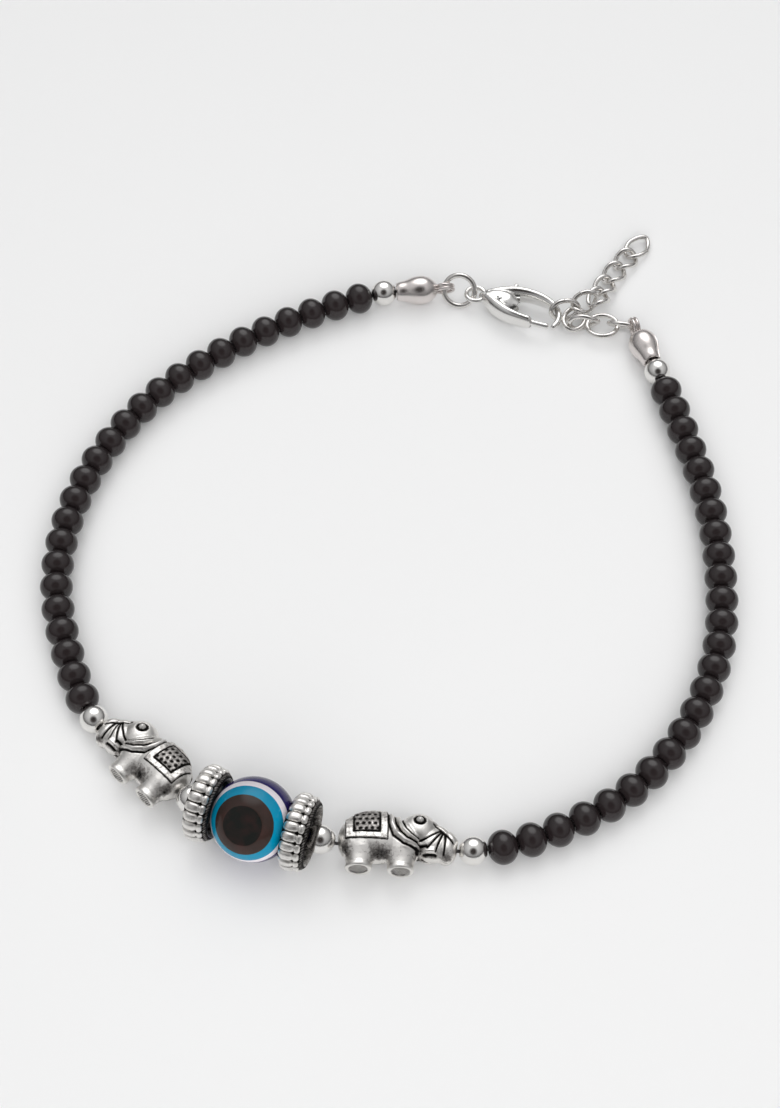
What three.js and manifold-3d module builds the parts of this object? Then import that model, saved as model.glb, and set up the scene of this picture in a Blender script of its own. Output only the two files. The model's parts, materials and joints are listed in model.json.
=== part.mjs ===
// A payal anklet lying open on a flat surface. Two strings of black beads run from a clamshell bead
// tip at the clasp round to the front, where each passes a silver ball, an elephant bead, a second
// ball and a fluted rondelle and ends in the middle of the large eye bead. At the back a jump ring
// carries a lobster clasp, and the clasp holds a link of the extension chain.
// Millimetres, Z up. X runs along the front from left to right, Y from the front to the clasp.

import * as THREE from 'three';
import { mergeVertices } from 'three/addons/utils/BufferGeometryUtils.js';
import Module from 'manifold-3d';

const wasm = await Module();
wasm.setup();

// Gaps: between pieces pushed together on the thread, and round the clasp's lever
const pieceGap = 0.22;
const leverGap = 0.3;

// Thread and its end knots
const threadDiameter = 0.4;
const knotDiameter = 1.9;
const threadEndGap = 0.3;

// Black beads
const beadsPerSide = 25;
const beadDiameter = 4.0;
const beadLength = 3.28;
const beadMouthDiameter = 1.8;
const beadSpacing = 0.1;

// Silver round balls
const ballDiameter = 3.35;
const ballLength = 3.1;

// Eye bead: a ball with a flat polished pupil on two opposite sides
const eyeDiameter = 9.7;
const pupilDiameter = 4.5;
const eyeTilt = 42.9;

// Fluted rondelles: a thin web in a wide ribbed rim
const rondelleDiameter = 9.0;
const rondelleWidth = 3.0;
const rondelleWeb = 1.0;
const rimInnerDiameter = 6.4;
const ribCount = 22;
const ribDepth = 0.45;
const rimGrooveDepth = 0.3;
const rimChamfer = 0.4;

// Bores of the beads
const boreDiameter = 1.3;
const eyeBoreDiameter = 1.8;
const webBoreDiameter = 2.0;

// Elephant beads: length from tail to trunk, height from soles to back, thickness over the flanks
const elephantLength = 13.6;
const elephantHeight = 7.5;
const elephantThickness = 4.4;
const reliefHeight = 0.22;
const legTaper = 0.85;
const earThicknessShare = 0.9;
const bossSides = 8;

// Calottes: the folded shell and the curled strip that hooks the ring or link
const shellLength = 5.5;
const shellDiameter = 3.8;
const shellMouthDiameter = 1.7;
const shellWall = 0.35;
const shellSlit = 0.4;
const hookDiameter = 2.7;
const hookWire = 0.54;
const hookSeat = 0.35;
const hookRootDiameter = 1.4;
const rightSlitTurn = 145;
const leftSlitTurn = 155;
const rightCalotteRoll = 0;
const leftCalotteRoll = 28;

// Jump ring
const jumpRingDiameter = 4.7;
const jumpRingWire = 0.6;
const jumpRingTilt = 56;
const jumpRingPlay = 0.15;

// Lobster clasp, from the middle of its eye to the far end of the hook
const claspReach = 12.2;
const claspWidth = 5.7;
const claspThickness = 2.8;
const claspHeading = -20;
const claspMiddleHeight = 1.85;
const claspEyeDiameter = 3.1;
const claspEyeWire = 0.68;
const leverThickness = 1.0;
const pinDiameter = 0.7;
const leverBossDiameter = 1.9;

// Chain links
const linkLength = 4.25;
const linkWidth = 3.2;
const linkWire = 0.52;
const linkTwist = 90;
const wavyTwist = 40;
const ringLinkLength = 4.5;
const ringLinkWidth = 4.2;
const endLinkLength = 4.9;
const endLinkWidth = 3.3;
const endLinkTaper = 0.35;

// Facets round a piece and along it
const beadSides = 10;
const ballSides = 10;
const eyeSides = 16;
const wireSides = 5;
const linkSteps = 16;
const ringSteps = 18;
const arcSteps = 6;

// Where the left calotte hooks the jump ring, and the height of the chain above the surface
const leftHookPlace = { x: 7.3, y: 42.55, z: 2.1 };
const jumpRingHeading = -11;
const rightHookHeight = 2.3;

// The strand's route in plan, chosen by eye from the right calotte round the front to the left one
const strandRoute = [
  { x: 33.4, y: 31.3 },
  { x: 34.9, y: 26.5 },
  { x: 37.3, y: 17.2 },
  { x: 39.4, y: 7.1 },
  { x: 40.1, y: -4.5 },
  { x: 38.9, y: -16.2 },
  { x: 34.3, y: -27.4 },
  { x: 26.4, y: -36.4 },
  { x: 14.7, y: -42.4 },
  { x: 7.5, y: -43.6 },
  { x: -7.6, y: -43.1 },
  { x: -12.0, y: -42.1 },
  { x: -19.6, y: -39.3 },
  { x: -23.9, y: -36.8 },
  { x: -34.4, y: -25.7 },
  { x: -38.3, y: -15.9 },
  { x: -40.3, y: -6.0 },
  { x: -39.6, y: 4.0 },
  { x: -36.4, y: 13.9 },
  { x: -30.4, y: 23.4 },
  { x: -21.8, y: 31.3 },
  { x: -11.7, y: 37.5 },
  { x: -0.6, y: 41.9 },
];

// How far each place on the strand is lifted from the black beads towards the eye bead
const strandLift = [
  { place: 'eye', share: 1.0 },
  { place: 'rondelle', share: 0.96 },
  { place: 'innerBall', share: 0.7 },
  { place: 'elephantTail', share: 0.5 },
  { place: 'elephantTrunk', share: 0.08 },
  { place: 'firstBead', share: 0.0 },
];

// The chain's links, chosen by eye: offsets from where the clasp holds its link, height above the
// surface, and the turns of the link in degrees: heading in plan, climb and roll about its length
const chainPlaces = [
  { form: 'plain', x: 8.5, y: -2.14, z: 1.55, heading: -10, climb: 0, roll: -53 },
  { form: 'ring', x: 5.8, y: -2.15, z: 1.4, heading: -8, climb: 3, roll: 0 },
  { form: 'wavy', x: 3.4, y: -1.72, z: 1.57, heading: 4, climb: 0, roll: 100 },
  { form: 'plain', x: 2.17, y: -0.8, z: 1.21, heading: -118, climb: 0, roll: -16 },
  { form: 'plain', x: 0.93, y: 0.15, z: 1.97, heading: 12, climb: 0, roll: 70 },
  { form: 'curb', x: 3.7, y: 1.28, z: 2.17, heading: 35, climb: 0, roll: 45 },
  { form: 'curb', x: 5.48, y: 2.4, z: 1.8, heading: 70, climb: -14, roll: 0 },
  { form: 'curb', x: 6.5, y: 5.15, z: 1.05, heading: 66, climb: -10, roll: 0 },
  { form: 'curb', x: 7.9, y: 7.75, z: 0.75, heading: 58, climb: 0, roll: 0 },
  { form: 'curb', x: 9.55, y: 10.2, z: 0.75, heading: 55, climb: 0, roll: 0 },
  { form: 'end', x: 11.3, y: 12.7, z: 0.68, heading: 55, climb: 0, roll: 0 },
];
const rightHookOffset = { x: 9.8, y: -2.95 };

// How far in front of the clasp's line the route starts to be drawn out, and how finely it is measured
const claspLineBlend = 12;
const strandDivisions = 1200;
const fitRounds = 40;
const stretchLimits = { least: 0.2, most: 4 };

const up = new THREE.Vector3(0, 0, 1);
const radians = THREE.MathUtils.degToRad;

const silver = { color: 0xc9c7c4, roughness: 0.22, metalness: 1.0 };
const brightSilver = { color: 0xdcdad7, roughness: 0.12, metalness: 1.0 };
const antiqueSilver = { color: 0xa9a5a0, roughness: 0.4, metalness: 1.0 };
const blackGlass = { color: 0x14100f, roughness: 0.18, metalness: 0.0 };
const eyeResin = { color: 0x1089a8, roughness: 0.15, metalness: 0.0 };

// Keeps only positions, joins shared corners and drops the triangles that have no area.
function weld(geometry) {
  const bare = geometry.clone();
  bare.deleteAttribute('normal');
  bare.deleteAttribute('uv');
  const joined = mergeVertices(bare, 1e-4);
  const kept = [];
  const corner = joined.index.array;
  for (let i = 0; i < corner.length; i += 3) {
    const [a, b, c] = [corner[i], corner[i + 1], corner[i + 2]];
    if (a !== b && b !== c && c !== a) kept.push(a, b, c);
  }
  joined.setIndex(kept);
  return joined;
}

function toSolid(geometry) {
  const welded = weld(geometry);
  return new wasm.Manifold(new wasm.Mesh({
    numProp: 3,
    vertProperties: new Float32Array(welded.attributes.position.array),
    triVerts: new Uint32Array(welded.index.array),
  }));
}

function fromSolid(solid) {
  const mesh = solid.getMesh();
  const geometry = new THREE.BufferGeometry();
  geometry.setAttribute('position', new THREE.BufferAttribute(new Float32Array(mesh.vertProperties), 3));
  geometry.setIndex(Array.from(mesh.triVerts));
  return geometry;
}

function join(...geometries) {
  const solids = geometries.map(toSolid);
  return fromSolid(solids.reduce((sum, next) => sum.add(next)));
}

function cut(geometry, ...tools) {
  return fromSolid(tools.reduce((rest, tool) => rest.subtract(toSolid(tool)), toSolid(geometry)));
}

function common(geometry, other) {
  return fromSolid(toSolid(geometry).intersect(toSolid(other)));
}

// Skins a row of rings that all have the same number of corners. An open row is capped at both ends.
function skin(rings, closed) {
  const sides = rings[0].length;
  const corners = rings.flat();
  const index = [];
  const spans = closed ? rings.length : rings.length - 1;
  for (let i = 0; i < spans; i += 1) {
    const near = i * sides;
    const far = ((i + 1) % rings.length) * sides;
    for (let k = 0; k < sides; k += 1) {
      const next = (k + 1) % sides;
      index.push(near + k, near + next, far + next, near + k, far + next, far + k);
    }
  }
  if (!closed) {
    const last = (rings.length - 1) * sides;
    for (let k = 1; k < sides - 1; k += 1) {
      index.push(0, k + 1, k, last, last + k, last + k + 1);
    }
  }
  const geometry = new THREE.BufferGeometry().setFromPoints(corners);
  geometry.setIndex(index);
  if (signedVolume(geometry) < 0) geometry.setIndex(index.reverse());
  return geometry;
}

function signedVolume(geometry) {
  const place = geometry.attributes.position;
  const corner = geometry.index.array;
  const [a, b, c] = [new THREE.Vector3(), new THREE.Vector3(), new THREE.Vector3()];
  let sum = 0;
  for (let i = 0; i < corner.length; i += 3) {
    a.fromBufferAttribute(place, corner[i]);
    b.fromBufferAttribute(place, corner[i + 1]);
    c.fromBufferAttribute(place, corner[i + 2]);
    sum += a.dot(b.cross(c));
  }
  return sum / 6;
}

// An elliptical ring of corners round a middle point, in the plane of two unit vectors.
function ringAt(middle, across, upwards, halfWidth, halfHeight, sides) {
  const ring = [];
  for (let k = 0; k < sides; k += 1) {
    const turn = (2 * Math.PI * (k + 0.5)) / sides;
    ring.push(middle.clone()
      .addScaledVector(across, halfWidth * Math.cos(turn))
      .addScaledVector(upwards, halfHeight * Math.sin(turn)));
  }
  return ring;
}

// A wire of round section along a closed path given by a function of the turn.
function closedWire(pathAt, wire, steps) {
  const places = [];
  for (let i = 0; i < steps; i += 1) places.push(pathAt((2 * Math.PI * i) / steps));
  const rings = places.map((place, i) => {
    const before = places[(i + steps - 1) % steps];
    const after = places[(i + 1) % steps];
    const along = after.clone().sub(before).normalize();
    const outwards = place.clone().addScaledVector(along, -place.dot(along)).normalize();
    const across = along.clone().cross(outwards);
    return ringAt(place, outwards, across, wire / 2, wire / 2, wireSides);
  });
  return skin(rings, true);
}

// Turns a profile of radius and place along the axis into a solid whose axis is X.
function turned(profile, sides) {
  const points = profile.map(({ radius, along }) => new THREE.Vector2(radius, along));
  return new THREE.LatheGeometry(points, sides).rotateZ(-Math.PI / 2);
}

// A ball or oval outline between two bore mouths, in steps along its arc.
function ovalProfile(diameter, length, mouthDiameter, steps) {
  const shareAtMouth = Math.sqrt(1 - (mouthDiameter / diameter) ** 2);
  const start = Math.acos(mouthDiameter / diameter);
  const profile = [];
  for (let i = 0; i <= steps; i += 1) {
    const angle = -start + (2 * start * i) / steps;
    profile.push({
      radius: (diameter / 2) * Math.cos(angle),
      along: ((length / 2) * Math.sin(angle)) / shareAtMouth,
    });
  }
  return profile;
}

// The clasp lies in its own frame: X from the middle of its eye to the hook, Y across, Z up.
// Its tables hold shares of the reach, the width and the thickness.
const hookPath = [
  { along: 0.15, across: 0.05, wide: 0.26, thick: 0.98 },
  { along: 0.27, across: 0.19, wide: 0.28, thick: 1.0 },
  { along: 0.41, across: 0.325, wide: 0.26, thick: 0.96 },
  { along: 0.56, across: 0.375, wide: 0.25, thick: 0.88 },
  { along: 0.71, across: 0.35, wide: 0.235, thick: 0.78 },
  { along: 0.83, across: 0.27, wide: 0.21, thick: 0.6 },
  { along: 0.91, across: 0.14, wide: 0.16, thick: 0.4 },
  { along: 0.95, across: -0.04, wide: 0.15, thick: 0.38 },
  { along: 0.955, across: -0.22, wide: 0.145, thick: 0.36 },
  { along: 0.935, across: -0.38, wide: 0.13, thick: 0.34 },
];
const lowerArmPath = [
  { along: 0.15, across: -0.05, wide: 0.26, thick: 0.98 },
  { along: 0.27, across: -0.23, wide: 0.3, thick: 1.0 },
  { along: 0.41, across: -0.36, wide: 0.26, thick: 0.94 },
  { along: 0.55, across: -0.405, wide: 0.22, thick: 0.86 },
  { along: 0.665, across: -0.41, wide: 0.2, thick: 0.78 },
];
const claspBase = [
  { along: 0.08, across: 0.0, wide: 0.2, thick: 0.5 },
  { along: 0.15, across: 0.0, wide: 0.34, thick: 0.86 },
  { along: 0.25, across: 0.0, wide: 0.6, thick: 1.0 },
  { along: 0.37, across: -0.02, wide: 0.66, thick: 0.98 },
  { along: 0.45, across: -0.03, wide: 0.4, thick: 0.8 },
];
const leverPin = { along: 0.285, across: -0.1 };
const leverOutline = [
  { along: 0.33, across: 0.08 },
  { along: 0.345, across: 0.6 },
  { along: 0.41, across: 0.6 },
  { along: 0.415, across: 0.05 },
  { along: 0.44, across: -0.17 },
  { along: 0.56, across: -0.3 },
  { along: 0.7, across: -0.335 },
  { along: 0.872, across: -0.33 },
  { along: 0.872, across: -0.46 },
  { along: 0.7, across: -0.49 },
  { along: 0.56, across: -0.44 },
  { along: 0.4, across: -0.36 },
  { along: 0.285, across: -0.27 },
];
const slotOutline = [
  { along: 0.19, across: 0.08 },
  { along: 0.235, across: 0.72 },
  { along: 0.46, across: 0.72 },
  { along: 0.47, across: 0.12 },
  { along: 0.56, across: 0.0 },
  { along: 0.72, across: -0.1 },
  { along: 0.72, across: -0.62 },
  { along: 0.55, across: -0.505 },
  { along: 0.4, across: -0.43 },
  { along: 0.27, across: -0.335 },
  { along: 0.19, across: -0.24 },
];

// A row of oval sections from one of the clasp's tables, skinned into an arm of cast metal.
function castArm(table, sides) {
  const places = table.map(({ along, across }) => (
    new THREE.Vector3(along * claspReach, across * claspWidth, 0)));
  const rings = places.map((place, i) => {
    const before = places[Math.max(i - 1, 0)];
    const after = places[Math.min(i + 1, places.length - 1)];
    const across = up.clone().cross(after.clone().sub(before)).normalize();
    const { wide, thick } = table[i];
    return ringAt(place, across, up, (wide * claspWidth) / 2, (thick * claspThickness) / 2, sides);
  });
  return skin(rings, false);
}

// A flat plate from one of the clasp's outlines, centred on the clasp's middle plane.
function plate(outline, thickness) {
  const shape = new THREE.Shape(outline.map(({ along, across }) => (
    new THREE.Vector2(along * claspReach, across * claspWidth))));
  return new THREE.ExtrudeGeometry(shape, { depth: thickness, bevelEnabled: false })
    .translate(0, 0, -thickness / 2);
}

function pinAt(diameter, height) {
  return new THREE.CylinderGeometry(diameter / 2, diameter / 2, height, eyeSides)
    .rotateX(Math.PI / 2)
    .translate(leverPin.along * claspReach, leverPin.across * claspWidth, 0);
}

function claspBodyGeometry() {
  const eyeRadius = (claspEyeDiameter - claspEyeWire) / 2;
  const eyeRing = closedWire(
    (turn) => new THREE.Vector3(eyeRadius * Math.cos(turn), eyeRadius * Math.sin(turn), 0),
    claspEyeWire,
    linkSteps,
  );
  const solid = join(castArm(hookPath, ballSides), castArm(lowerArmPath, ballSides),
    castArm(claspBase, ballSides), eyeRing);
  const slotted = cut(solid, plate(slotOutline, leverThickness + 2 * leverGap));
  return join(slotted, pinAt(pinDiameter, claspThickness));
}

function claspLeverGeometry() {
  const blank = join(plate(leverOutline, leverThickness), pinAt(leverBossDiameter, leverThickness));
  return cut(blank, pinAt(pinDiameter + 2 * leverGap, 2 * claspThickness));
}

// Chain link centre line: an oval, twisted about its length, and drawn to a point at the end link.
function linkGeometry(form) {
  const forms = {
    curb: { length: linkLength, width: linkWidth, twist: linkTwist, taper: 0 },
    plain: { length: linkLength, width: linkWidth, twist: 0, taper: 0 },
    wavy: { length: linkLength, width: linkWidth, twist: wavyTwist, taper: 0 },
    ring: { length: ringLinkLength, width: ringLinkWidth, twist: 0, taper: 0 },
    end: { length: endLinkLength, width: endLinkWidth, twist: linkTwist / 2, taper: endLinkTaper },
  };
  const { length, width, twist, taper } = forms[form];
  const halfLength = (length - linkWire) / 2;
  const halfWidth = (width - linkWire) / 2;
  return closedWire((turn) => {
    const side = halfWidth * Math.sin(turn) * (1 - taper * Math.max(0, Math.cos(turn)));
    const lean = (radians(twist) / 2) * Math.cos(turn);
    return new THREE.Vector3(halfLength * Math.cos(turn), side * Math.cos(lean), side * Math.sin(lean));
  }, linkWire, form === 'ring' ? ringSteps : linkSteps);
}

function jumpRingGeometry() {
  const radius = (jumpRingDiameter - jumpRingWire) / 2;
  return closedWire(
    (turn) => new THREE.Vector3(radius * Math.cos(turn), radius * Math.sin(turn), 0),
    jumpRingWire,
    ringSteps,
  );
}

// A calotte in its own frame: X from the mouth of the shell to the middle of the hook.
function calotteGeometry(slitTurn) {
  const outer = shellOutline(shellDiameter, 0);
  const inner = shellOutline(shellDiameter - 2 * shellWall, shellWall).reverse();
  const shell = turned([...outer, ...inner, outer[0]], ballSides);
  const slit = new THREE.BoxGeometry(shellLength - hookSeat, shellDiameter, shellSlit)
    .translate(shellLength / 2 - hookSeat, shellDiameter / 2, 0)
    .rotateX(radians(slitTurn));
  const radius = (hookDiameter - hookWire) / 2;
  const hook = closedWire(
    (turn) => new THREE.Vector3(radius * Math.cos(turn), 0, radius * Math.sin(turn)),
    hookWire,
    ringSteps,
  ).translate(hookAlong(), 0, 0);
  const plug = new THREE.CylinderGeometry(hookRootDiameter / 2, hookRootDiameter / 2, shellWall, ballSides)
    .rotateZ(Math.PI / 2)
    .translate(shellLength - shellWall / 2, 0, 0);
  return join(cut(shell, slit), plug, hook);
}

// From the mouth of the shell to the middle of the hook.
function hookAlong() {
  return shellLength + (hookDiameter - hookWire) / 2 - shellWall / 2;
}

// The shell is round at its fullest part and narrows to the mouth and to the hook's root.
function shellOutline(diameter, inset) {
  const from = Math.asin((shellMouthDiameter / shellDiameter));
  const to = Math.PI - Math.asin((2 * hookWire) / shellDiameter) - inset / shellDiameter;
  const outline = [];
  for (let i = 0; i <= arcSteps; i += 1) {
    const angle = from + ((to - from) * i) / arcSteps;
    const share = (Math.cos(from) - Math.cos(angle)) / (Math.cos(from) - Math.cos(to));
    outline.push({ radius: (diameter / 2) * Math.sin(angle), along: share * (shellLength - inset) });
  }
  return outline;
}

// A fluted rondelle about X. Every second corner of the rim lies in a furrow between two ribs.
function rondelleGeometry() {
  const rows = [
    { radius: webBoreDiameter / 2, along: -rondelleWeb / 2, ribbed: 0 },
    { radius: rimInnerDiameter / 2, along: -rondelleWeb / 2, ribbed: 0 },
    { radius: rimInnerDiameter / 2, along: -rondelleWidth / 2, ribbed: 0 },
    { radius: rondelleDiameter / 2, along: rimChamfer - rondelleWidth / 2, ribbed: 1 },
    { radius: rondelleDiameter / 2 - rimGrooveDepth, along: 0, ribbed: 1 },
    { radius: rondelleDiameter / 2, along: rondelleWidth / 2 - rimChamfer, ribbed: 1 },
    { radius: rimInnerDiameter / 2, along: rondelleWidth / 2, ribbed: 0 },
    { radius: rimInnerDiameter / 2, along: rondelleWeb / 2, ribbed: 0 },
    { radius: webBoreDiameter / 2, along: rondelleWeb / 2, ribbed: 0 },
  ];
  const sides = 2 * ribCount;
  const rings = rows.map(({ radius, along, ribbed }) => {
    const ring = [];
    for (let k = 0; k < sides; k += 1) {
      const turn = (2 * Math.PI * k) / sides;
      const depth = k % 2 === 0 ? 0 : ribbed * ribDepth;
      ring.push(new THREE.Vector3(along, (radius - depth) * Math.cos(turn), (radius - depth) * Math.sin(turn)));
    }
    return ring;
  });
  return skin(rings, true);
}

function ballGeometry() {
  const outline = ovalProfile(ballDiameter, ballLength, boreDiameter, arcSteps);
  return turned([...outline, outline[0]], ballSides);
}

// The eye bead about Z, with its pupils above and below and its bore along X.
function eyeGeometry() {
  const start = Math.asin(pupilDiameter / eyeDiameter);
  const steps = arcSteps + 2;
  const points = [new THREE.Vector2(0, -pupilHeight())];
  for (let i = 0; i <= steps; i += 1) {
    const angle = start + ((Math.PI - 2 * start) * i) / steps;
    points.push(new THREE.Vector2((eyeDiameter / 2) * Math.sin(angle), (-eyeDiameter / 2) * Math.cos(angle)));
  }
  points.push(new THREE.Vector2(0, pupilHeight()));
  const ball = new THREE.LatheGeometry(points, eyeSides).rotateX(Math.PI / 2);
  const bore = new THREE.CylinderGeometry(eyeBoreDiameter / 2, eyeBoreDiameter / 2, 2 * eyeDiameter, ballSides)
    .rotateZ(Math.PI / 2);
  return cut(ball, bore);
}

function pupilHeight() {
  return Math.sqrt((eyeDiameter / 2) ** 2 - (pupilDiameter / 2) ** 2);
}

// An elephant in its own frame: X from tail to trunk with the bore on X, Y towards its back, Z
// across its flanks. The tables hold shares of its length, height and thickness.
const elephantLumps = [
  { lump: 'barrel', x: -0.18, y: 0.07, long: 0.3, high: 0.45, thick: 0.5 },
  { lump: 'shoulder', x: 0.05, y: 0.02, long: 0.17, high: 0.39, thick: 0.47 },
  { lump: 'rump', x: -0.4, y: 0.03, long: 0.13, high: 0.3, thick: 0.38 },
  { lump: 'head', x: 0.19, y: 0.27, long: 0.155, high: 0.3, thick: 0.4 },
  { lump: 'cheek', x: 0.31, y: 0.08, long: 0.15, high: 0.32, thick: 0.38 },
  { lump: 'trunk', x: 0.43, y: -0.04, long: 0.1, high: 0.27, thick: 0.34 },
];
const elephantLegs = [
  { leg: 'rear', x: -0.3, top: -0.05, sole: -0.43, long: 0.095, thick: 0.29 },
  { leg: 'front', x: 0.065, top: -0.05, sole: -0.43, long: 0.1, thick: 0.29 },
];
const blanketPatch = { fromX: -0.43, toX: -0.09, fromY: -0.01, toY: 0.6 };
const earRidge = { x: 0.2, y: 0.33, inner: 0.17, outer: 0.235, from: 165, to: 285 };
const eyeBoss = { x: 0.175, y: 0.37, across: 0.035, thick: 0.41 };
const tuskBar = { x: 0.24, y: -0.13, long: 0.14, high: 0.06, thick: 0.39 };
const browPlate = { x: 0.38, y: 0.24, long: 0.17, high: 0.09, thick: 0.3, turn: -38 };

function elephantGeometry() {
  const [long, high, thick] = [elephantLength, elephantHeight, elephantThickness];
  const lumps = elephantLumps.map((row) => (
    new THREE.SphereGeometry(1, ballSides, arcSteps)
      .scale(row.long * long, row.high * high, row.thick * thick)
      .translate(row.x * long, row.y * high, 0)));
  const legs = elephantLegs.map((row) => (
    new THREE.CylinderGeometry(legTaper, 1, (row.top - row.sole) * high, ballSides)
      .scale(row.long * long, 1, row.thick * thick)
      .translate(row.x * long, ((row.top + row.sole) / 2) * high, 0)));
  const barrel = elephantLumps[0];
  const blanket = common(
    new THREE.SphereGeometry(1, ballSides, arcSteps)
      .scale(barrel.long * long + reliefHeight, barrel.high * high + reliefHeight,
        barrel.thick * thick + reliefHeight)
      .translate(barrel.x * long, barrel.y * high, 0),
    slab(blanketPatch, thick),
  );
  const boss = new THREE.CylinderGeometry(eyeBoss.across * long, eyeBoss.across * long,
    2 * eyeBoss.thick * thick, bossSides)
    .rotateX(Math.PI / 2)
    .translate(eyeBoss.x * long, eyeBoss.y * high, 0);
  const tusk = new THREE.BoxGeometry(tuskBar.long * long, tuskBar.high * high, 2 * tuskBar.thick * thick)
    .translate(tuskBar.x * long + (tuskBar.long * long) / 2, tuskBar.y * high, 0);
  const brow = new THREE.BoxGeometry(browPlate.long * long, browPlate.high * high, 2 * browPlate.thick * thick)
    .rotateZ(radians(browPlate.turn))
    .translate(browPlate.x * long, browPlate.y * high, 0);
  const whole = join(...lumps, ...legs, blanket, earSolid(), boss, tusk, brow);
  const bore = new THREE.CylinderGeometry(boreDiameter / 2, boreDiameter / 2, 2 * long, ballSides)
    .rotateZ(Math.PI / 2);
  const trimmed = common(whole, new THREE.BoxGeometry(long, 4 * high, 4 * thick));
  return cut(trimmed, bore);
}

// The block over which the blanket's patch is taken from the swollen barrel.
function slab(patch, thick) {
  const width = (patch.toX - patch.fromX) * elephantLength;
  const height = (patch.toY - patch.fromY) * elephantHeight;
  return new THREE.BoxGeometry(width, height, 4 * thick)
    .translate(patch.fromX * elephantLength + width / 2, patch.fromY * elephantHeight + height / 2, 0);
}

// The ear's edge: a curved ridge behind the head that stands a little above the shoulder.
function earSolid() {
  const shape = new THREE.Shape();
  const points = [];
  for (let i = 0; i <= arcSteps; i += 1) points.push(earPoint(earRidge.outer, i / arcSteps));
  for (let i = arcSteps; i >= 0; i -= 1) points.push(earPoint(earRidge.inner, i / arcSteps));
  shape.setFromPoints(points);
  const depth = elephantThickness * earThicknessShare + 2 * reliefHeight;
  return new THREE.ExtrudeGeometry(shape, { depth, bevelEnabled: false }).translate(0, 0, -depth / 2);
}

function earPoint(radiusShare, share) {
  const turn = radians(earRidge.from + (earRidge.to - earRidge.from) * share);
  const radius = radiusShare * elephantLength;
  return new THREE.Vector2(
    earRidge.x * elephantLength + radius * Math.cos(turn),
    earRidge.y * elephantHeight + radius * Math.sin(turn),
  );
}

// Places along the strand, as distances from the middle of the eye bead
const strandPlaces = {};
strandPlaces.eye = 0;
strandPlaces.rondelle = eyeDiameter / 2 + pieceGap + rondelleWeb / 2;
strandPlaces.innerBall = strandPlaces.rondelle + rondelleWeb / 2 + pieceGap + ballLength / 2;
strandPlaces.elephantTail = strandPlaces.innerBall + ballLength / 2 + pieceGap;
strandPlaces.elephantTrunk = strandPlaces.elephantTail + elephantLength;
strandPlaces.middleBall = strandPlaces.elephantTrunk + pieceGap + ballLength / 2;
strandPlaces.firstBead = strandPlaces.middleBall + ballLength / 2 + pieceGap + beadLength / 2;
strandPlaces.lastBead = strandPlaces.firstBead + (beadsPerSide - 1) * (beadLength + beadSpacing);
strandPlaces.endBall = strandPlaces.lastBead + beadLength / 2 + pieceGap + ballLength / 2;
strandPlaces.mouth = strandPlaces.endBall + ballLength / 2 + pieceGap;
strandPlaces.hook = strandPlaces.mouth + hookAlong();

// The clasp stretch, from the left hook along the jump ring and the clasp to the held link
const claspDirection = new THREE.Vector3(Math.cos(radians(claspHeading)), Math.sin(radians(claspHeading)), 0);
const claspAcross = up.clone().cross(claspDirection);
const leftHook = new THREE.Vector3(leftHookPlace.x, leftHookPlace.y, leftHookPlace.z);
const jumpDirection = new THREE.Vector3(
  Math.cos(radians(jumpRingHeading)), Math.sin(radians(jumpRingHeading)), 0);
const jumpRadius = (jumpRingDiameter - jumpRingWire) / 2;
const jumpMiddle = leftHook.clone().addScaledVector(jumpDirection, jumpRadius - jumpRingPlay);
const claspEye = jumpMiddle.clone().addScaledVector(jumpDirection, jumpRadius + jumpRingPlay);
claspEye.z = claspMiddleHeight;
const holdRow = hookPath[6];
const holdPoint = claspEye.clone()
  .addScaledVector(claspDirection, holdRow.along * claspReach)
  .addScaledVector(claspAcross, holdRow.across * claspWidth);
const rightHook = new THREE.Vector3(
  holdPoint.x + rightHookOffset.x, holdPoint.y + rightHookOffset.y, rightHookHeight);

// The strand's curve: the route is drawn out from the clasp's line until it has the strand's length
function strandCurve(stretch) {
  const middle = leftHook.clone().add(rightHook).multiplyScalar(0.5).setZ(0);
  const along = rightHook.clone().sub(leftHook).setZ(0).normalize();
  const away = along.clone().cross(up);
  const points = strandRoute.map(({ x, y }) => {
    const offset = new THREE.Vector3(x, y, 0).sub(middle);
    const distance = offset.dot(away);
    const share = Math.max(distance, 0) / (Math.max(distance, 0) + claspLineBlend);
    return middle.clone()
      .addScaledVector(along, offset.dot(along) * (1 + (stretch - 1) * share))
      .addScaledVector(away, distance * (1 + (stretch - 1) * share));
  });
  const ends = [rightHook.clone().setZ(0), ...points, leftHook.clone().setZ(0)];
  const curve = new THREE.CatmullRomCurve3(ends, false, 'centripetal');
  curve.arcLengthDivisions = strandDivisions;
  return curve;
}

function fittedStrand() {
  const wanted = 2 * strandPlaces.hook;
  let [low, high] = [stretchLimits.least, stretchLimits.most];
  for (let i = 0; i < fitRounds; i += 1) {
    const middle = (low + high) / 2;
    if (strandCurve(middle).getLength() < wanted) low = middle;
    else high = middle;
  }
  return strandCurve((low + high) / 2);
}

const strand = fittedStrand();
const strandHalf = strand.getLength() / 2;

// Height of the thread at a distance from the eye bead
function threadHeight(distance) {
  const low = beadDiameter / 2;
  const high = eyeDiameter / 2;
  const rows = strandLift.map(({ place, share }) => ({ at: strandPlaces[place], share }));
  const next = rows.findIndex(({ at }) => at >= distance);
  if (next < 0) return low;
  if (next === 0) return high;
  const [from, to] = [rows[next - 1], rows[next]];
  const share = from.share + ((to.share - from.share) * (distance - from.at)) / (to.at - from.at);
  return low + (high - low) * share;
}

// A point of the thread: distance from the eye bead, and side 1 for right or -1 for left
function threadPoint(side, distance) {
  const run = THREE.MathUtils.clamp(0.5 - (side * distance) / (2 * strandHalf), 0, 1);
  return strand.getPointAt(run).setZ(threadHeight(distance));
}

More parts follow.
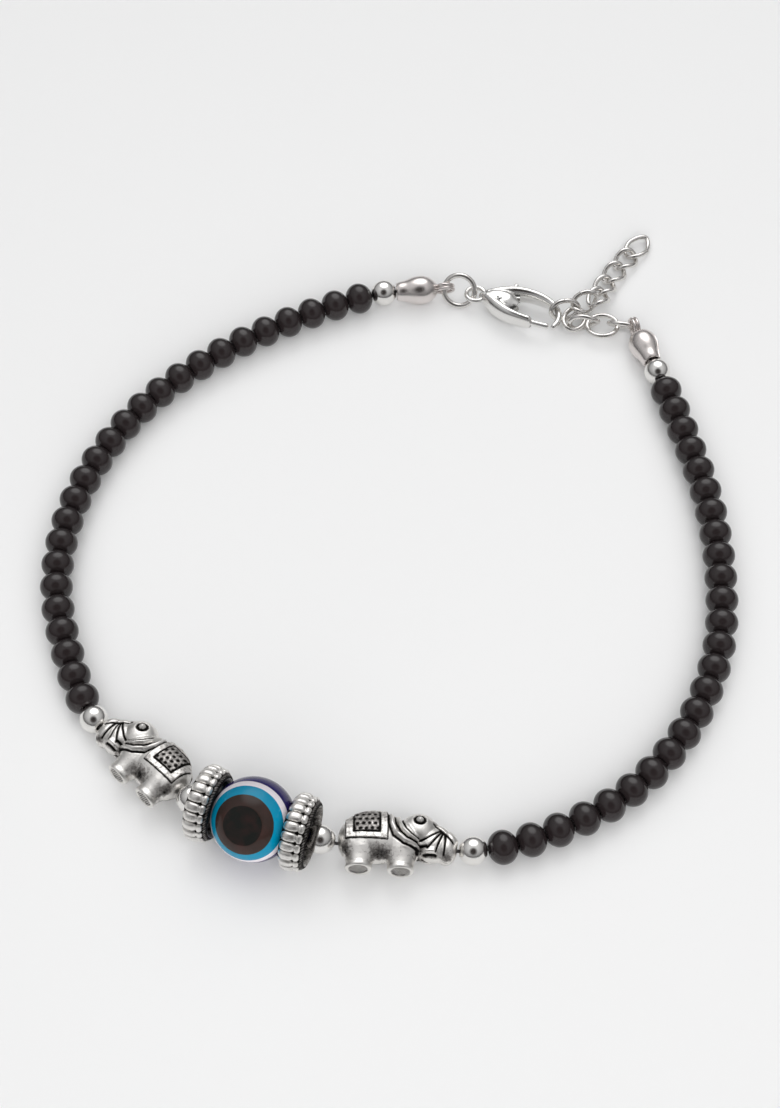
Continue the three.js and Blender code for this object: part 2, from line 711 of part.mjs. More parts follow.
// A mesh whose X runs from one point to another and whose Y points into the loop
function meshBetween(name, geometry, look, side, from, to, roll) {
  const along = to.clone().sub(from).normalize();
  const inwards = up.clone().cross(along).normalize().multiplyScalar(side);
  const third = along.clone().cross(inwards);
  const frame = new THREE.Matrix4().makeBasis(along, inwards, third);
  const mesh = makeMesh(name, geometry, look);
  mesh.quaternion.setFromRotationMatrix(frame);
  mesh.rotateX(radians(roll));
  return mesh;
}

function makeMesh(name, geometry, look) {
  const mesh = new THREE.Mesh(weld(geometry), new THREE.MeshStandardMaterial(look));
  mesh.name = name;
  return mesh;
}

// A bead centred at a distance along one side of the strand
function strungMesh(name, geometry, look, side, distance, halfLength) {
  const from = threadPoint(side, distance - halfLength);
  const to = threadPoint(side, distance + halfLength);
  const mesh = meshBetween(name, geometry, look, side, from, to, 0);
  mesh.position.copy(threadPoint(side, distance));
  return mesh;
}

// One string: the thread from the middle of the eye bead to the calotte, and its black beads.
// The rows hold a distance along the strand and the string's diameter there.
function stringRows() {
  const rows = [{ at: threadEndGap / 2, across: threadDiameter }];
  const bareStops = ['rondelle', 'innerBall', 'elephantTail', 'elephantTrunk', 'middleBall'];
  bareStops.forEach((place) => rows.push({ at: strandPlaces[place], across: threadDiameter }));
  for (let i = 0; i < beadsPerSide; i += 1) {
    const middle = strandPlaces.firstBead + i * (beadLength + beadSpacing);
    rows.push({ at: middle - (beadLength + beadSpacing) / 2, across: threadDiameter });
    beadSections.forEach(({ share, across }) => (
      rows.push({ at: middle + (share * beadLength) / 2, across: across * beadDiameter })));
  }
  const tailStart = strandPlaces.lastBead + (beadLength + beadSpacing) / 2;
  rows.push({ at: tailStart, across: threadDiameter });
  rows.push({ at: strandPlaces.endBall, across: threadDiameter });
  const knotMiddle = strandPlaces.mouth + shellLength / 2;
  rows.push({ at: knotMiddle - knotDiameter / 2, across: threadDiameter });
  rows.push({ at: knotMiddle - knotDiameter / 4, across: knotDiameter });
  rows.push({ at: knotMiddle + knotDiameter / 4, across: knotDiameter });
  rows.push({ at: knotMiddle + knotDiameter / 2, across: threadDiameter });
  return rows;
}

// Sections of a bead between its two mouths, as shares of its half length and of its diameter
const beadSections = [
  { share: -0.97, across: beadMouthDiameter / beadDiameter },
  { share: -0.42, across: 0.98 },
  { share: 0.42, across: 0.98 },
  { share: 0.97, across: beadMouthDiameter / beadDiameter },
];

function stringMesh(name, side) {
  const rows = stringRows();
  const places = rows.map(({ at }) => threadPoint(side, at));
  const rings = places.map((place, i) => {
    const before = places[Math.max(i - 1, 0)];
    const after = places[Math.min(i + 1, places.length - 1)];
    const along = after.clone().sub(before).normalize();
    const across = up.clone().cross(along).normalize();
    const upwards = along.clone().cross(across);
    const radius = rows[i].across / 2;
    return ringAt(place, across, upwards, radius, radius, beadSides);
  });
  return makeMesh(name, skin(rings, false), blackGlass);
}

function addSide(group, side, word) {
  group.add(stringMesh(`bead_string_${word}`, side));
  const firstBall = side > 0 ? 1 : 4;
  ['innerBall', 'middleBall', 'endBall'].forEach((place, i) => {
    group.add(strungMesh(`silver_ball_${firstBall + i}`, ballGeometry(), brightSilver, side,
      strandPlaces[place], ballLength / 2));
  });
  const rondellePlace = threadPoint(side, strandPlaces.rondelle);
  const rondelle = meshBetween(`rondelle_${word}`, rondelleGeometry(), antiqueSilver, side,
    threadPoint(side, strandPlaces.eye), rondellePlace, 0);
  rondelle.position.copy(rondellePlace);
  group.add(rondelle);
  const tail = threadPoint(side, strandPlaces.elephantTail);
  const trunk = threadPoint(side, strandPlaces.elephantTrunk);
  const elephant = meshBetween(`elephant_${word}`, elephantGeometry(), antiqueSilver, side, tail, trunk, 0);
  elephant.position.copy(tail).add(trunk).multiplyScalar(0.5);
  group.add(elephant);
  const mouth = threadPoint(side, strandPlaces.mouth);
  const hook = threadPoint(side, strandPlaces.hook);
  const slitTurn = side > 0 ? rightSlitTurn : leftSlitTurn;
  const roll = side > 0 ? rightCalotteRoll : leftCalotteRoll;
  const calotte = meshBetween(`calotte_${word}`, calotteGeometry(slitTurn), silver, side, mouth, hook, roll);
  calotte.position.copy(mouth);
  group.add(calotte);
}

function addEye(group) {
  const left = threadPoint(-1, strandPlaces.rondelle);
  const right = threadPoint(1, strandPlaces.rondelle);
  const eye = meshBetween('eye_bead', eyeGeometry(), eyeResin, 1, left, right, eyeTilt);
  eye.position.copy(threadPoint(1, strandPlaces.eye));
  group.add(eye);
}

function addClasp(group) {
  const jumpRing = makeMesh('jump_ring', jumpRingGeometry(), silver);
  jumpRing.position.copy(jumpMiddle);
  jumpRing.rotation.set(0, 0, radians(jumpRingHeading));
  jumpRing.rotateX(radians(jumpRingTilt));
  group.add(jumpRing);
  const clasp = new THREE.Group();
  clasp.position.copy(claspEye);
  clasp.rotation.z = radians(claspHeading);
  clasp.add(makeMesh('clasp_body', claspBodyGeometry(), brightSilver));
  clasp.add(makeMesh('clasp_lever', claspLeverGeometry(), brightSilver));
  group.add(clasp);
}

function addChain(group) {
  chainPlaces.forEach((row, i) => {
    const name = `chain_link_${String(i + 1).padStart(2, '0')}`;
    const link = makeMesh(name, linkGeometry(row.form), silver);
    link.position.set(holdPoint.x + row.x, holdPoint.y + row.y, row.z);
    link.rotateZ(radians(row.heading));
    link.rotateY(radians(-row.climb));
    link.rotateX(radians(row.roll));
    group.add(link);
  });
}

const anklet = new THREE.Group();
addSide(anklet, 1, 'right');
addSide(anklet, -1, 'left');
addEye(anklet);
addClasp(anklet);
addChain(anklet);

// The part's origin is on the surface, below the middle of the whole anklet
const extent = new THREE.Box3().setFromObject(anklet, true);
const middle = extent.getCenter(new THREE.Vector3());
anklet.position.set(-middle.x, -middle.y, -extent.min.z);

export default anklet;
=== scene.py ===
import json
import math

import bmesh
import bpy
import numpy as np
from mathutils import Matrix, Vector


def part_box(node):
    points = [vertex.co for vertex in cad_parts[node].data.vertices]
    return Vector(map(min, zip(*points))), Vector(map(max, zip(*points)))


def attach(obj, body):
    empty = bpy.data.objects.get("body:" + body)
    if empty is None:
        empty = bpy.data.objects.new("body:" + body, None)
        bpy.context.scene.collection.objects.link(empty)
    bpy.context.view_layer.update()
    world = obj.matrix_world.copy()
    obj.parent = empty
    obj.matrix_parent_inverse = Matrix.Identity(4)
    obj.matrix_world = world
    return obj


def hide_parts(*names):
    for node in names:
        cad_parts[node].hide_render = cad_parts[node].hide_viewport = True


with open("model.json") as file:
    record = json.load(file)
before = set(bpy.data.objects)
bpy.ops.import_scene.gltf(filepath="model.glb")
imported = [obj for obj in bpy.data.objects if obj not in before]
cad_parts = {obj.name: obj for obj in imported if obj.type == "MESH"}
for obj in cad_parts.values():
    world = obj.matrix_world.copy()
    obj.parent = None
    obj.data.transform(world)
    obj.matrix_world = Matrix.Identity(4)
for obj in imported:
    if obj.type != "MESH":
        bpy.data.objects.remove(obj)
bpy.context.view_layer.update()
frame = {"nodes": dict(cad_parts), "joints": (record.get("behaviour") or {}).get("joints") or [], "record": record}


# Thread: each string hangs on one black nylon cord that runs from the middle of the eye bead, through
# every bead on its side, to a knot inside the calotte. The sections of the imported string, walked from
# the eye bead, give the path that the cord and everything strung on it follow.
MM = 0.001
THREAD_DIAMETER = 0.4 * MM
THREAD_SIDES = 10
JOIN_DISTANCE = 0.002 * MM
SECTION_CORNERS = 10
THREAD_STOPS = {"rondelle": 1, "elephant_tail": 3, "elephant_trunk": 4}

mounts = {mount["name"]: mount for mount in frame["record"]["mounts"]}
pupil_front = Vector(mounts["pupil_front"]["pos_m"])
pupil_back = Vector(mounts["pupil_back"]["pos_m"])
eye_middle = (pupil_front + pupil_back) / 2


def joined_copy(node):
    copy = bmesh.new()
    copy.from_mesh(frame["nodes"][node].data)
    bmesh.ops.remove_doubles(copy, verts=copy.verts, dist=JOIN_DISTANCE)
    return copy


def string_sections(node):
    copy = joined_copy(node)
    ring = sorted(copy.verts, key=lambda v: (v.co - eye_middle).length)[:SECTION_CORNERS]
    seen = set(ring)
    sections = []
    while ring:
        middle = sum((v.co for v in ring), Vector()) / len(ring)
        radius = sum((v.co - middle).length for v in ring) / len(ring)
        sections.append((middle, radius))
        following = {edge.other_vert(v) for v in ring for edge in v.link_edges} - seen
        seen |= following
        ring = list(following)
    copy.free()
    return sections


def path_mesh(paths):
    mesh = bpy.data.meshes.new("path")
    points = [tuple(point) for path in paths for point in path]
    edges = []
    start = 0
    for path in paths:
        edges += [(start + i, start + i + 1) for i in range(len(path) - 1)]
        start += len(path)
    mesh.from_pydata(points, edges, [])
    return mesh


def geometry_tree(name, inputs):
    tree = bpy.data.node_groups.new(name, "GeometryNodeTree")
    tree.interface.new_socket("Geometry", in_out="INPUT", socket_type="NodeSocketGeometry")
    for label, kind in inputs:
        tree.interface.new_socket(label, in_out="INPUT", socket_type="NodeSocket" + kind)
    tree.interface.new_socket("Geometry", in_out="OUTPUT", socket_type="NodeSocketGeometry")
    return tree


def add_node(tree, kind, links=(), **values):
    node = tree.nodes.new(kind)
    for key, value in values.items():
        setattr(node, key, value)
    for socket, source in links:
        if isinstance(source, bpy.types.NodeSocket):
            tree.links.new(source, node.inputs[socket])
        else:
            node.inputs[socket].default_value = source
    return node


def add_object(name, data):
    piece = bpy.data.objects.new(name, data)
    bpy.context.scene.collection.objects.link(piece)
    return piece


def evaluated_mesh(holder):
    """The plain mesh that an object's modifiers give. The object itself is removed."""
    evaluated = holder.evaluated_get(bpy.context.evaluated_depsgraph_get())
    mesh = bpy.data.meshes.new_from_object(evaluated)
    bpy.data.objects.remove(holder)
    return mesh


def grown_mesh(tree, source, values):
    holder = add_object("holder", source)
    modifier = holder.modifiers.new("tree", "NODES")
    modifier.node_group = tree
    for item in tree.interface.items_tree:
        if item.in_out == "INPUT" and item.name in values:
            modifier[item.identifier] = values[item.name]
    return evaluated_mesh(holder)


def wire_tree():
    tree = geometry_tree("wire_along_path", [("Radius", "Float"), ("Sides", "Int"), ("Steps", "Float"),
                                             ("Finish", "Material")])
    entry = add_node(tree, "NodeGroupInput").outputs
    curve = add_node(tree, "GeometryNodeMeshToCurve", [("Mesh", entry["Geometry"])])
    curve = add_node(tree, "GeometryNodeCurveSplineType", [("Curve", curve.outputs[0])],
                     spline_type="CATMULL_ROM")
    curve = add_node(tree, "GeometryNodeResampleCurve",
                     [("Curve", curve.outputs[0]), ("Length", entry["Steps"])], mode="LENGTH")
    profile = add_node(tree, "GeometryNodeCurvePrimitiveCircle",
                       [("Resolution", entry["Sides"]), ("Radius", entry["Radius"])])
    swept = add_node(tree, "GeometryNodeCurveToMesh",
                     [("Curve", curve.outputs[0]), ("Profile Curve", profile.outputs[0]),
                      ("Fill Caps", True)])
    plain = add_node(tree, "GeometryNodeRealizeInstances", [("Geometry", swept.outputs[0])])
    smooth = add_node(tree, "GeometryNodeSetShadeSmooth", [("Geometry", plain.outputs[0])])
    painted = add_node(tree, "GeometryNodeSetMaterial",
                       [("Geometry", smooth.outputs[0]), ("Material", entry["Finish"])])
    add_node(tree, "NodeGroupOutput", [("Geometry", painted.outputs[0])])
    return tree


def swept_wire(paths, diameter, sides, step, finish):
    """Round wire along each path, with its ends capped."""
    return grown_mesh(wire_sweep, path_mesh(paths), {
        "Radius": diameter / 2, "Sides": sides, "Steps": step, "Finish": finish})


def new_material(name, **values):
    material = bpy.data.materials.new(name)
    material.use_nodes = True
    shader = material.node_tree.nodes["Principled BSDF"]
    for key, value in values.items():
        shader.inputs[key.replace("_", " ")].default_value = value
    return material, material.node_tree, shader


def grained_material(name, scale, strength, distance, **values):
    """A plain material with a fine unevenness in its surface."""
    material, tree, shader = new_material(name, **values)
    place = add_node(tree, "ShaderNodeTexCoord")
    grain = add_node(tree, "ShaderNodeTexNoise", [("Vector", place.outputs["Object"]), ("Scale", scale),
                                                  ("Detail", 4.0)])
    bump = add_node(tree, "ShaderNodeBump", [("Height", grain.outputs[0]), ("Strength", strength),
                                             ("Distance", distance)])
    tree.links.new(bump.outputs[0], shader.inputs["Normal"])
    return material


thread_finish = grained_material("thread_nylon", 9000.0, 0.6, 0.02 * MM,
                                 Base_Color=(0.02, 0.018, 0.018, 1), Roughness=0.55)

wire_sweep = wire_tree()
sections = {side: string_sections("bead_string_" + side) for side in ("right", "left")}
for side, rows in sections.items():
    thread_route = [middle for middle, _ in rows]
    thread = add_object("thread_" + side, swept_wire(
        [thread_route], THREAD_DIAMETER, THREAD_SIDES, THREAD_DIAMETER, thread_finish))
    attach(thread, "root")
    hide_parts("bead_string_" + side)


# Black beads: pressed glass rounds, polished all over and drilled through, slightly shorter than they
# are wide, with a small flat round each mouth. They are strung mouth to mouth with a hair's gap.
BEAD_DIAMETER = 4.0 * MM
BEAD_LENGTH = 3.28 * MM
BEAD_MOUTH = 1.5 * MM
BEAD_BORE = 0.8 * MM
WIDE_SECTION = 1.5 * MM
BEAD_SIDES = 40
BEAD_STEPS = 22
LIP_STEPS = 3


def row_faces(count, sides, closed):
    """Quads from each row of corners to the next, and if closed from the last row to the first."""
    faces = []
    for i in range(count if closed else count - 1):
        near, far = i * sides, (i + 1) % count * sides
        faces += [(near + k, far + k, far + (k + 1) % sides, near + (k + 1) % sides) for k in range(sides)]
    return faces


def smooth_mesh(name, points, faces):
    """A smoothly shaded mesh whose faces all point outwards."""
    mesh = bpy.data.meshes.new(name)
    mesh.from_pydata(points, [], faces)
    solid = bmesh.new()
    solid.from_mesh(mesh)
    bmesh.ops.recalc_face_normals(solid, faces=solid.faces)
    solid.to_mesh(mesh)
    solid.free()
    mesh.shade_smooth()
    return mesh


def turned_mesh(profile, sides):
    """A closed ring-shaped surface about X from rows of (along, radius)."""
    turns = [2 * math.pi * k / sides for k in range(sides)]
    points = [(along, radius * math.cos(turn), radius * math.sin(turn))
              for along, radius in profile for turn in turns]
    return smooth_mesh("turned", points, row_faces(len(profile), sides, True))


def drilled_profile(diameter, length, mouth, bore, steps):
    """An oval between two mouths whose lips round into the bore."""
    start = math.acos(mouth / diameter)
    rows = []
    for i in range(steps + 1):
        angle = -start + 2 * start * i / steps
        rows.append((length / 2 * math.sin(angle) / math.sin(start), diameter / 2 * math.cos(angle)))
    lip = (mouth - bore) / 2
    for i in range(1, LIP_STEPS + 1):
        turn = math.pi / 2 * i / LIP_STEPS
        rows.append((length / 2 - lip * (1 - math.cos(turn)), mouth / 2 - lip * math.sin(turn)))
    mirrored = [(-along, radius) for along, radius in rows[:steps:-1]]
    return rows + mirrored


def strung_tree():
    tree = geometry_tree("strung_on_thread", [("Bead", "Object"), ("Spin Seed", "Int"),
                                              ("Finish", "Material")])
    entry = add_node(tree, "NodeGroupInput").outputs
    bead = add_node(tree, "GeometryNodeObjectInfo", [("Object", entry["Bead"])])
    axis = add_node(tree, "GeometryNodeInputNamedAttribute", [("Name", "axis")], data_type="FLOAT_VECTOR")
    turned = add_node(tree, "FunctionNodeAlignRotationToVector", [("Vector", axis.outputs["Attribute"])],
                      axis="X")
    spin = add_node(tree, "FunctionNodeRandomValue", [("Seed", entry["Spin Seed"])], data_type="FLOAT")
    spin.inputs[3].default_value = 2 * math.pi
    about = add_node(tree, "ShaderNodeCombineXYZ", [("X", spin.outputs[1])])
    whole = add_node(tree, "FunctionNodeRotateRotation",
                     [("Rotation", turned.outputs[0]), ("Rotate By", about.outputs[0])],
                     rotation_space="LOCAL")
    placed = add_node(tree, "GeometryNodeInstanceOnPoints",
                      [("Points", entry["Geometry"]), ("Instance", bead.outputs["Geometry"]),
                       ("Rotation", whole.outputs[0])])
    plain = add_node(tree, "GeometryNodeRealizeInstances", [("Geometry", placed.outputs[0])])
    painted = add_node(tree, "GeometryNodeSetMaterial",
                       [("Geometry", plain.outputs[0]), ("Material", entry["Finish"])])
    add_node(tree, "NodeGroupOutput", [("Geometry", painted.outputs[0])])
    return tree


def strung_mesh(bead_mesh, places, seed, finish):
    """One mesh of a bead repeated at each (middle, axis) along the thread."""
    points = bpy.data.meshes.new("places")
    points.from_pydata([tuple(middle) for middle, _ in places], [], [])
    axis = points.attributes.new("axis", "FLOAT_VECTOR", "POINT")
    axis.data.foreach_set("vector", [value for _, direction in places for value in direction])
    bead = add_object("bead", bead_mesh)
    mesh = grown_mesh(bead_tree, points, {"Bead": bead, "Spin Seed": seed, "Finish": finish})
    bpy.data.objects.remove(bead)
    return mesh


black_glass = grained_material("black_pressed_glass", 700.0, 0.12, 0.05 * MM, Roughness=0.13, IOR=1.5,
                               Base_Color=(0.02, 0.015, 0.0155, 1), Specular_IOR_Level=0.46)

bead_tree = strung_tree()
bead_profile = drilled_profile(BEAD_DIAMETER, BEAD_LENGTH, BEAD_MOUTH, BEAD_BORE, BEAD_STEPS)
for seed, (side, rows) in enumerate(sections.items()):
    wide = [middle for middle, radius in rows if radius > WIDE_SECTION]
    places = [((first + second) / 2, (second - first).normalized())
              for first, second in zip(wide[::2], wide[1::2])]
    beads = add_object("black_beads_" + side, strung_mesh(
        turned_mesh(bead_profile, BEAD_SIDES), places, seed, black_glass))
    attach(beads, "root")
    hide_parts("bead_string_" + side)


# Silver balls: hollow seamless brass rounds with bright silver plating, drilled through. One sits on
# each side of each elephant and one between the last black bead and the calotte.
BALL_DIAMETER = 3.35 * MM
BALL_LENGTH = 3.1 * MM
BALL_MOUTH = 1.35 * MM
BALL_BORE = 0.95 * MM
BALL_ORDER = {"right": (1, 2, 3), "left": (4, 5, 6)}

bright_plate = grained_material("bright_silver_plate", 420.0, 0.1, 0.06 * MM,
                                Base_Color=(0.9, 0.885, 0.86, 1), Metallic=1.0, Roughness=0.17)


def box_middle(node):
    low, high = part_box(node)
    return (low + high) / 2


ball_profile = drilled_profile(BALL_DIAMETER, BALL_LENGTH, BALL_MOUTH, BALL_BORE, BEAD_STEPS)
for side, rows in sections.items():
    for number in BALL_ORDER[side]:
        node = "silver_ball_%d" % number
        middle = box_middle(node)
        stop = min(range(1, len(rows) - 1), key=lambda i: (rows[i][0] - middle).length)
        axis = (rows[stop + 1][0] - rows[stop - 1][0]).normalized()
        ball = add_object("ball_%d" % number, strung_mesh(
            turned_mesh(ball_profile, BEAD_SIDES), [(middle, axis)], number, bright_plate))
        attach(ball, "root")
        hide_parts(node)


# Elephant beads: cast in one piece with the same relief on both flanks, then plated, blackened and
# rubbed, so that silver shines on the high places and dark patina stays in the grooves. Each is drilled
# from trunk to tail. Sizes here are in millimetres: x from tail to trunk, y up to the back, z across.
ELEPHANT_VOXEL = 0.065 * MM
ELEPHANT_EASE = 16
LUMP_SEGMENTS = 48
LUMP_ROWS = 24
ELEPHANT_LUMPS = [
    {"lump": "barrel", "x": -2.4, "y": 1.05, "long": 4.1, "high": 3.2, "thick": 2.1},
    {"lump": "shoulder", "x": 0.7, "y": 0.65, "long": 2.3, "high": 2.8, "thick": 2.05},
    {"lump": "rump", "x": -4.9, "y": 0.5, "long": 1.8, "high": 2.6, "thick": 1.75},
    {"lump": "head", "x": 2.4, "y": 2.05, "long": 2.2, "high": 2.25, "thick": 2.0},
    {"lump": "cheek", "x": 4.0, "y": 0.6, "long": 2.1, "high": 2.2, "thick": 1.7},
    {"lump": "trunk", "x": 5.5, "y": 0.15, "long": 1.3, "high": 1.9, "thick": 1.55},
]
LEG_PROFILE = [(0.0, 1.38), (0.03, 1.5), (0.12, 1.53), (0.17, 1.44), (0.35, 1.64), (0.6, 2.0), (1.0, 2.4)]
ELEPHANT_LEGS = [
    {"leg": "rear", "x": -4.3, "lean": 0.5, "thick": 0.85},
    {"leg": "front", "x": 0.45, "lean": -0.1, "thick": 0.85},
]
LEG_SIDES = 40
LEG_TOP = 0.6
SOLE_HEIGHT = -3.2
SOLE_RADIUS = 1.5
BLANKET = {"left": -5.85, "right": -1.25, "low": -0.1, "high": 4.6}
BLANKET_PANEL = {"left": -5.0, "right": -2.1, "low": 0.65, "high": 3.55}
BLANKET_RAISE = 0.14
BLANKET_SOFTNESS = {"raise": 0.08, "hem": 0.1, "line": 0.05}
HEM = {"width": 0.34, "height": 0.1}
PANEL_RAISE = 0.06
PANEL_LINE = {"width": 0.09, "dark": 0.7}
BLANKET_LINE = {"width": 0.1, "dark": 0.65}
BLANKET_DARK = 0.13
PANEL_DARK = 0.12
PIT_SPACING = 0.66
PIT_SHARPNESS = 1.5
PIT_DARK = 0.55
PIT_DEPTH = 0.2
FURROW_DARK = 0.85
ELEPHANT_STROKES = [
    {"part": "ear rim", "width": 0.26, "height": 0.3,
     "points": [(-0.85, 3.2), (-0.75, 2.0), (-0.25, 0.8), (0.75, -0.1), (2.05, -0.5)]},
    {"part": "ear furrow", "width": 0.11, "height": -0.3,
     "points": [(-0.35, 3.3), (-0.25, 2.1), (0.2, 1.0), (1.0, 0.2), (2.05, -0.15)]},
    {"part": "ear fold", "width": 0.2, "height": 0.26,
     "points": [(0.08, 3.4), (0.15, 2.2), (0.55, 1.25), (1.25, 0.5), (2.1, 0.1)]},
    {"part": "ear root", "width": 0.1, "height": -0.28,
     "points": [(0.45, 3.6), (0.5, 2.4), (0.85, 1.5), (1.5, 0.8), (2.3, 0.4)]},
    {"part": "behind the ear", "width": 0.11, "height": -0.22,
     "points": [(-1.2, 3.6), (-1.15, 1.9), (-0.6, 0.45), (0.55, -0.5), (2.1, -0.9)]},
    {"part": "brow", "width": 0.45, "height": 0.26, "points": [(4.45, 2.75), (5.6, 1.8), (6.6, 0.7)]},
    {"part": "under the brow", "width": 0.1, "height": -0.2, "points": [(4.0, 2.5), (5.1, 1.5), (6.2, 0.2)]},
    {"part": "first trunk furrow", "width": 0.09, "height": -0.28,
     "points": [(4.85, 1.75), (4.1, 1.15), (3.1, 0.5), (2.35, 0.2)]},
    {"part": "second trunk furrow", "width": 0.09, "height": -0.28,
     "points": [(4.95, 1.6), (4.45, 0.85), (3.85, 0.05), (3.3, -0.55)]},
    {"part": "third trunk furrow", "width": 0.09, "height": -0.28,
     "points": [(5.1, 1.5), (4.85, 0.75), (4.5, -0.15), (4.25, -0.9)]},
    {"part": "fourth trunk furrow", "width": 0.09, "height": -0.28,
     "points": [(5.3, 1.35), (5.3, 0.6), (5.2, -0.4), (5.15, -1.2)]},
    {"part": "tusk", "width": 0.22, "height": 0.3, "points": [(2.35, -0.8), (4.0, -0.85)]},
    {"part": "above the tusk", "width": 0.11, "height": -0.3, "points": [(2.2, -0.35), (3.2, -0.4)]},
    {"part": "mouth", "width": 0.11, "height": -0.2, "points": [(2.1, -1.15), (4.3, -1.3)]},
    {"part": "eye", "width": 0.3, "height": 0.26, "points": [(2.4, 2.75)]},
]
EYE_RING = {"x": 2.4, "y": 2.75, "radius": 0.58, "width": 0.15, "height": -0.3}
# Painted shade: dark patches where the body recedes, between and behind the legs, under the jaw and below the
# trunk tip.
PAINTED_SHADE_DARK = 0.42
PAINTED_SHADE_PATCHES = [
    {"where": "between the legs", "x": -1.95, "y": -1.75, "long": 1.2, "high": 0.95},
    {"where": "behind the rear leg", "x": -5.9, "y": -1.3, "long": 0.6, "high": 1.0},
    {"where": "under the jaw", "x": 2.5, "y": -1.4, "long": 0.7, "high": 1.1},
    {"where": "trunk tip", "x": 5.6, "y": -1.7, "long": 0.9, "high": 0.5},
]
SOLE_BAND = (0.25, 0.05)
SOLE_DISH = {"full": 0.62, "none": 0.8, "depth": 0.16, "pitting": 0.06, "dark": 0.25, "speckle": 0.6}
FLANK_FACING = (0.12, 0.5)
FLANK_LEAST = 0.2
GROOVE_AND_SHADE_STRENGTH = 1.3
CREASE_PATINA = 2.0
CREASE_START = 0.03


def lump_mesh(solid, middle, radii):
    place = Matrix.Translation(middle) @ Matrix.Diagonal((*radii, 1))
    bmesh.ops.create_uvsphere(solid, u_segments=LUMP_SEGMENTS, v_segments=LUMP_ROWS, radius=1.0, matrix=place)


def oval_ring(solid, middle, across, upward, sides):
    """New corners round the oval with this middle and these two half axes."""
    turns = [2 * math.pi * k / sides for k in range(sides)]
    return [solid.verts.new(middle + across * math.cos(t) + upward * math.sin(t)) for t in turns]


def skin_rings(solid, rings):
    """Faces from each ring of corners to the next, and one across each end."""
    sides = len(rings[0])
    for near, far in zip(rings, rings[1:]):
        for k in range(sides):
            after = (k + 1) % sides
            solid.faces.new((near[k], near[after], far[after], far[k]))
    solid.faces.new(rings[0][::-1])
    solid.faces.new(rings[-1])


def leg_mesh(solid, row):
    rings = []
    for share, radius in LEG_PROFILE:
        height = SOLE_HEIGHT + (LEG_TOP - SOLE_HEIGHT) * share
        middle = Vector((row["x"] + row["lean"] * share, height, 0))
        across = Vector((radius, 0, 0))
        rings.append(oval_ring(solid, middle, across, Vector((0, 0, row["thick"] * radius)), LEG_SIDES))
    skin_rings(solid, rings)


def remeshed(mesh, voxel, smoothing):
    """One skin round overlapping closed shells, with its creases eased."""
    holder = add_object("holder", mesh)
    remesh = holder.modifiers.new("skin", "REMESH")
    remesh.mode = "VOXEL"
    remesh.voxel_size = voxel
    ease = holder.modifiers.new("ease", "SMOOTH")
    ease.factor = 0.5
    ease.iterations = smoothing
    return evaluated_mesh(holder)


def add_values(mesh, name, values):
    mesh.attributes.new(name, "FLOAT", "POINT").data.foreach_set("value", np.asarray(values, np.float32))


def corner_values(mesh, key):
    values = np.zeros(len(mesh.vertices) * 3, np.float32)
    mesh.vertices.foreach_get(key, values)
    return values.reshape(-1, 3).astype(float)


def hollowness(mesh):
    """How far each corner lies below the middle of its neighbours, in edge lengths."""
    place = corner_values(mesh, "co")
    edges = np.zeros(len(mesh.edges) * 2, np.int32)
    mesh.edges.foreach_get("vertices", edges)
    a, b = edges.reshape(-1, 2).T
    total = np.zeros_like(place)
    count = np.zeros(len(place))
    np.add.at(total, a, place[b])
    np.add.at(total, b, place[a])
    np.add.at(count, a, 1)
    np.add.at(count, b, 1)
    rise = ((total / count[:, None] - place) * corner_values(mesh, "normal")).sum(1)
    rise /= np.linalg.norm(place[a] - place[b], axis=1).mean()
    for _ in range(3):
        total = np.zeros_like(rise)
        np.add.at(total, a, rise[b])
        np.add.at(total, b, rise[a])
        rise = 0.5 * rise + 0.5 * total / count
    return rise


def stroke(x, y, points, width):
    """1 on a line through the points, or on a single one, falling to 0 about twice its width away."""
    nearest = np.full(x.shape, np.inf)
    if len(points) == 1:
        nearest = (x - points[0][0]) ** 2 + (y - points[0][1]) ** 2
    for (ax, ay), (bx, by) in zip(points, points[1:]):
        length = (bx - ax) ** 2 + (by - ay) ** 2
        share = np.clip(((x - ax) * (bx - ax) + (y - ay) * (by - ay)) / length, 0, 1)
        nearest = np.minimum(nearest, (x - ax - share * (bx - ax)) ** 2 + (y - ay - share * (by - ay)) ** 2)
    return np.exp(-nearest / width ** 2)


def ramp(values, low, high):
    share = np.clip((values - low) / (high - low), 0, 1)
    return share * share * (3 - 2 * share)


def band(values, low, high, soft):
    return ramp(values, low - soft, low + soft) * (1 - ramp(values, high - soft, high + soft))


def patch(x, y, box, soft):
    """1 inside a box, falling to 0 over its soft edges."""
    return band(x, box["left"], box["right"], soft) * band(y, box["low"], box["high"], soft)


def frame_stroke(x, y, box, width):
    corners = [(box["left"], box["low"]), (box["right"], box["low"]), (box["right"], box["high"]),
               (box["left"], box["high"]), (box["left"], box["low"])]
    return stroke(x, y, corners, width)


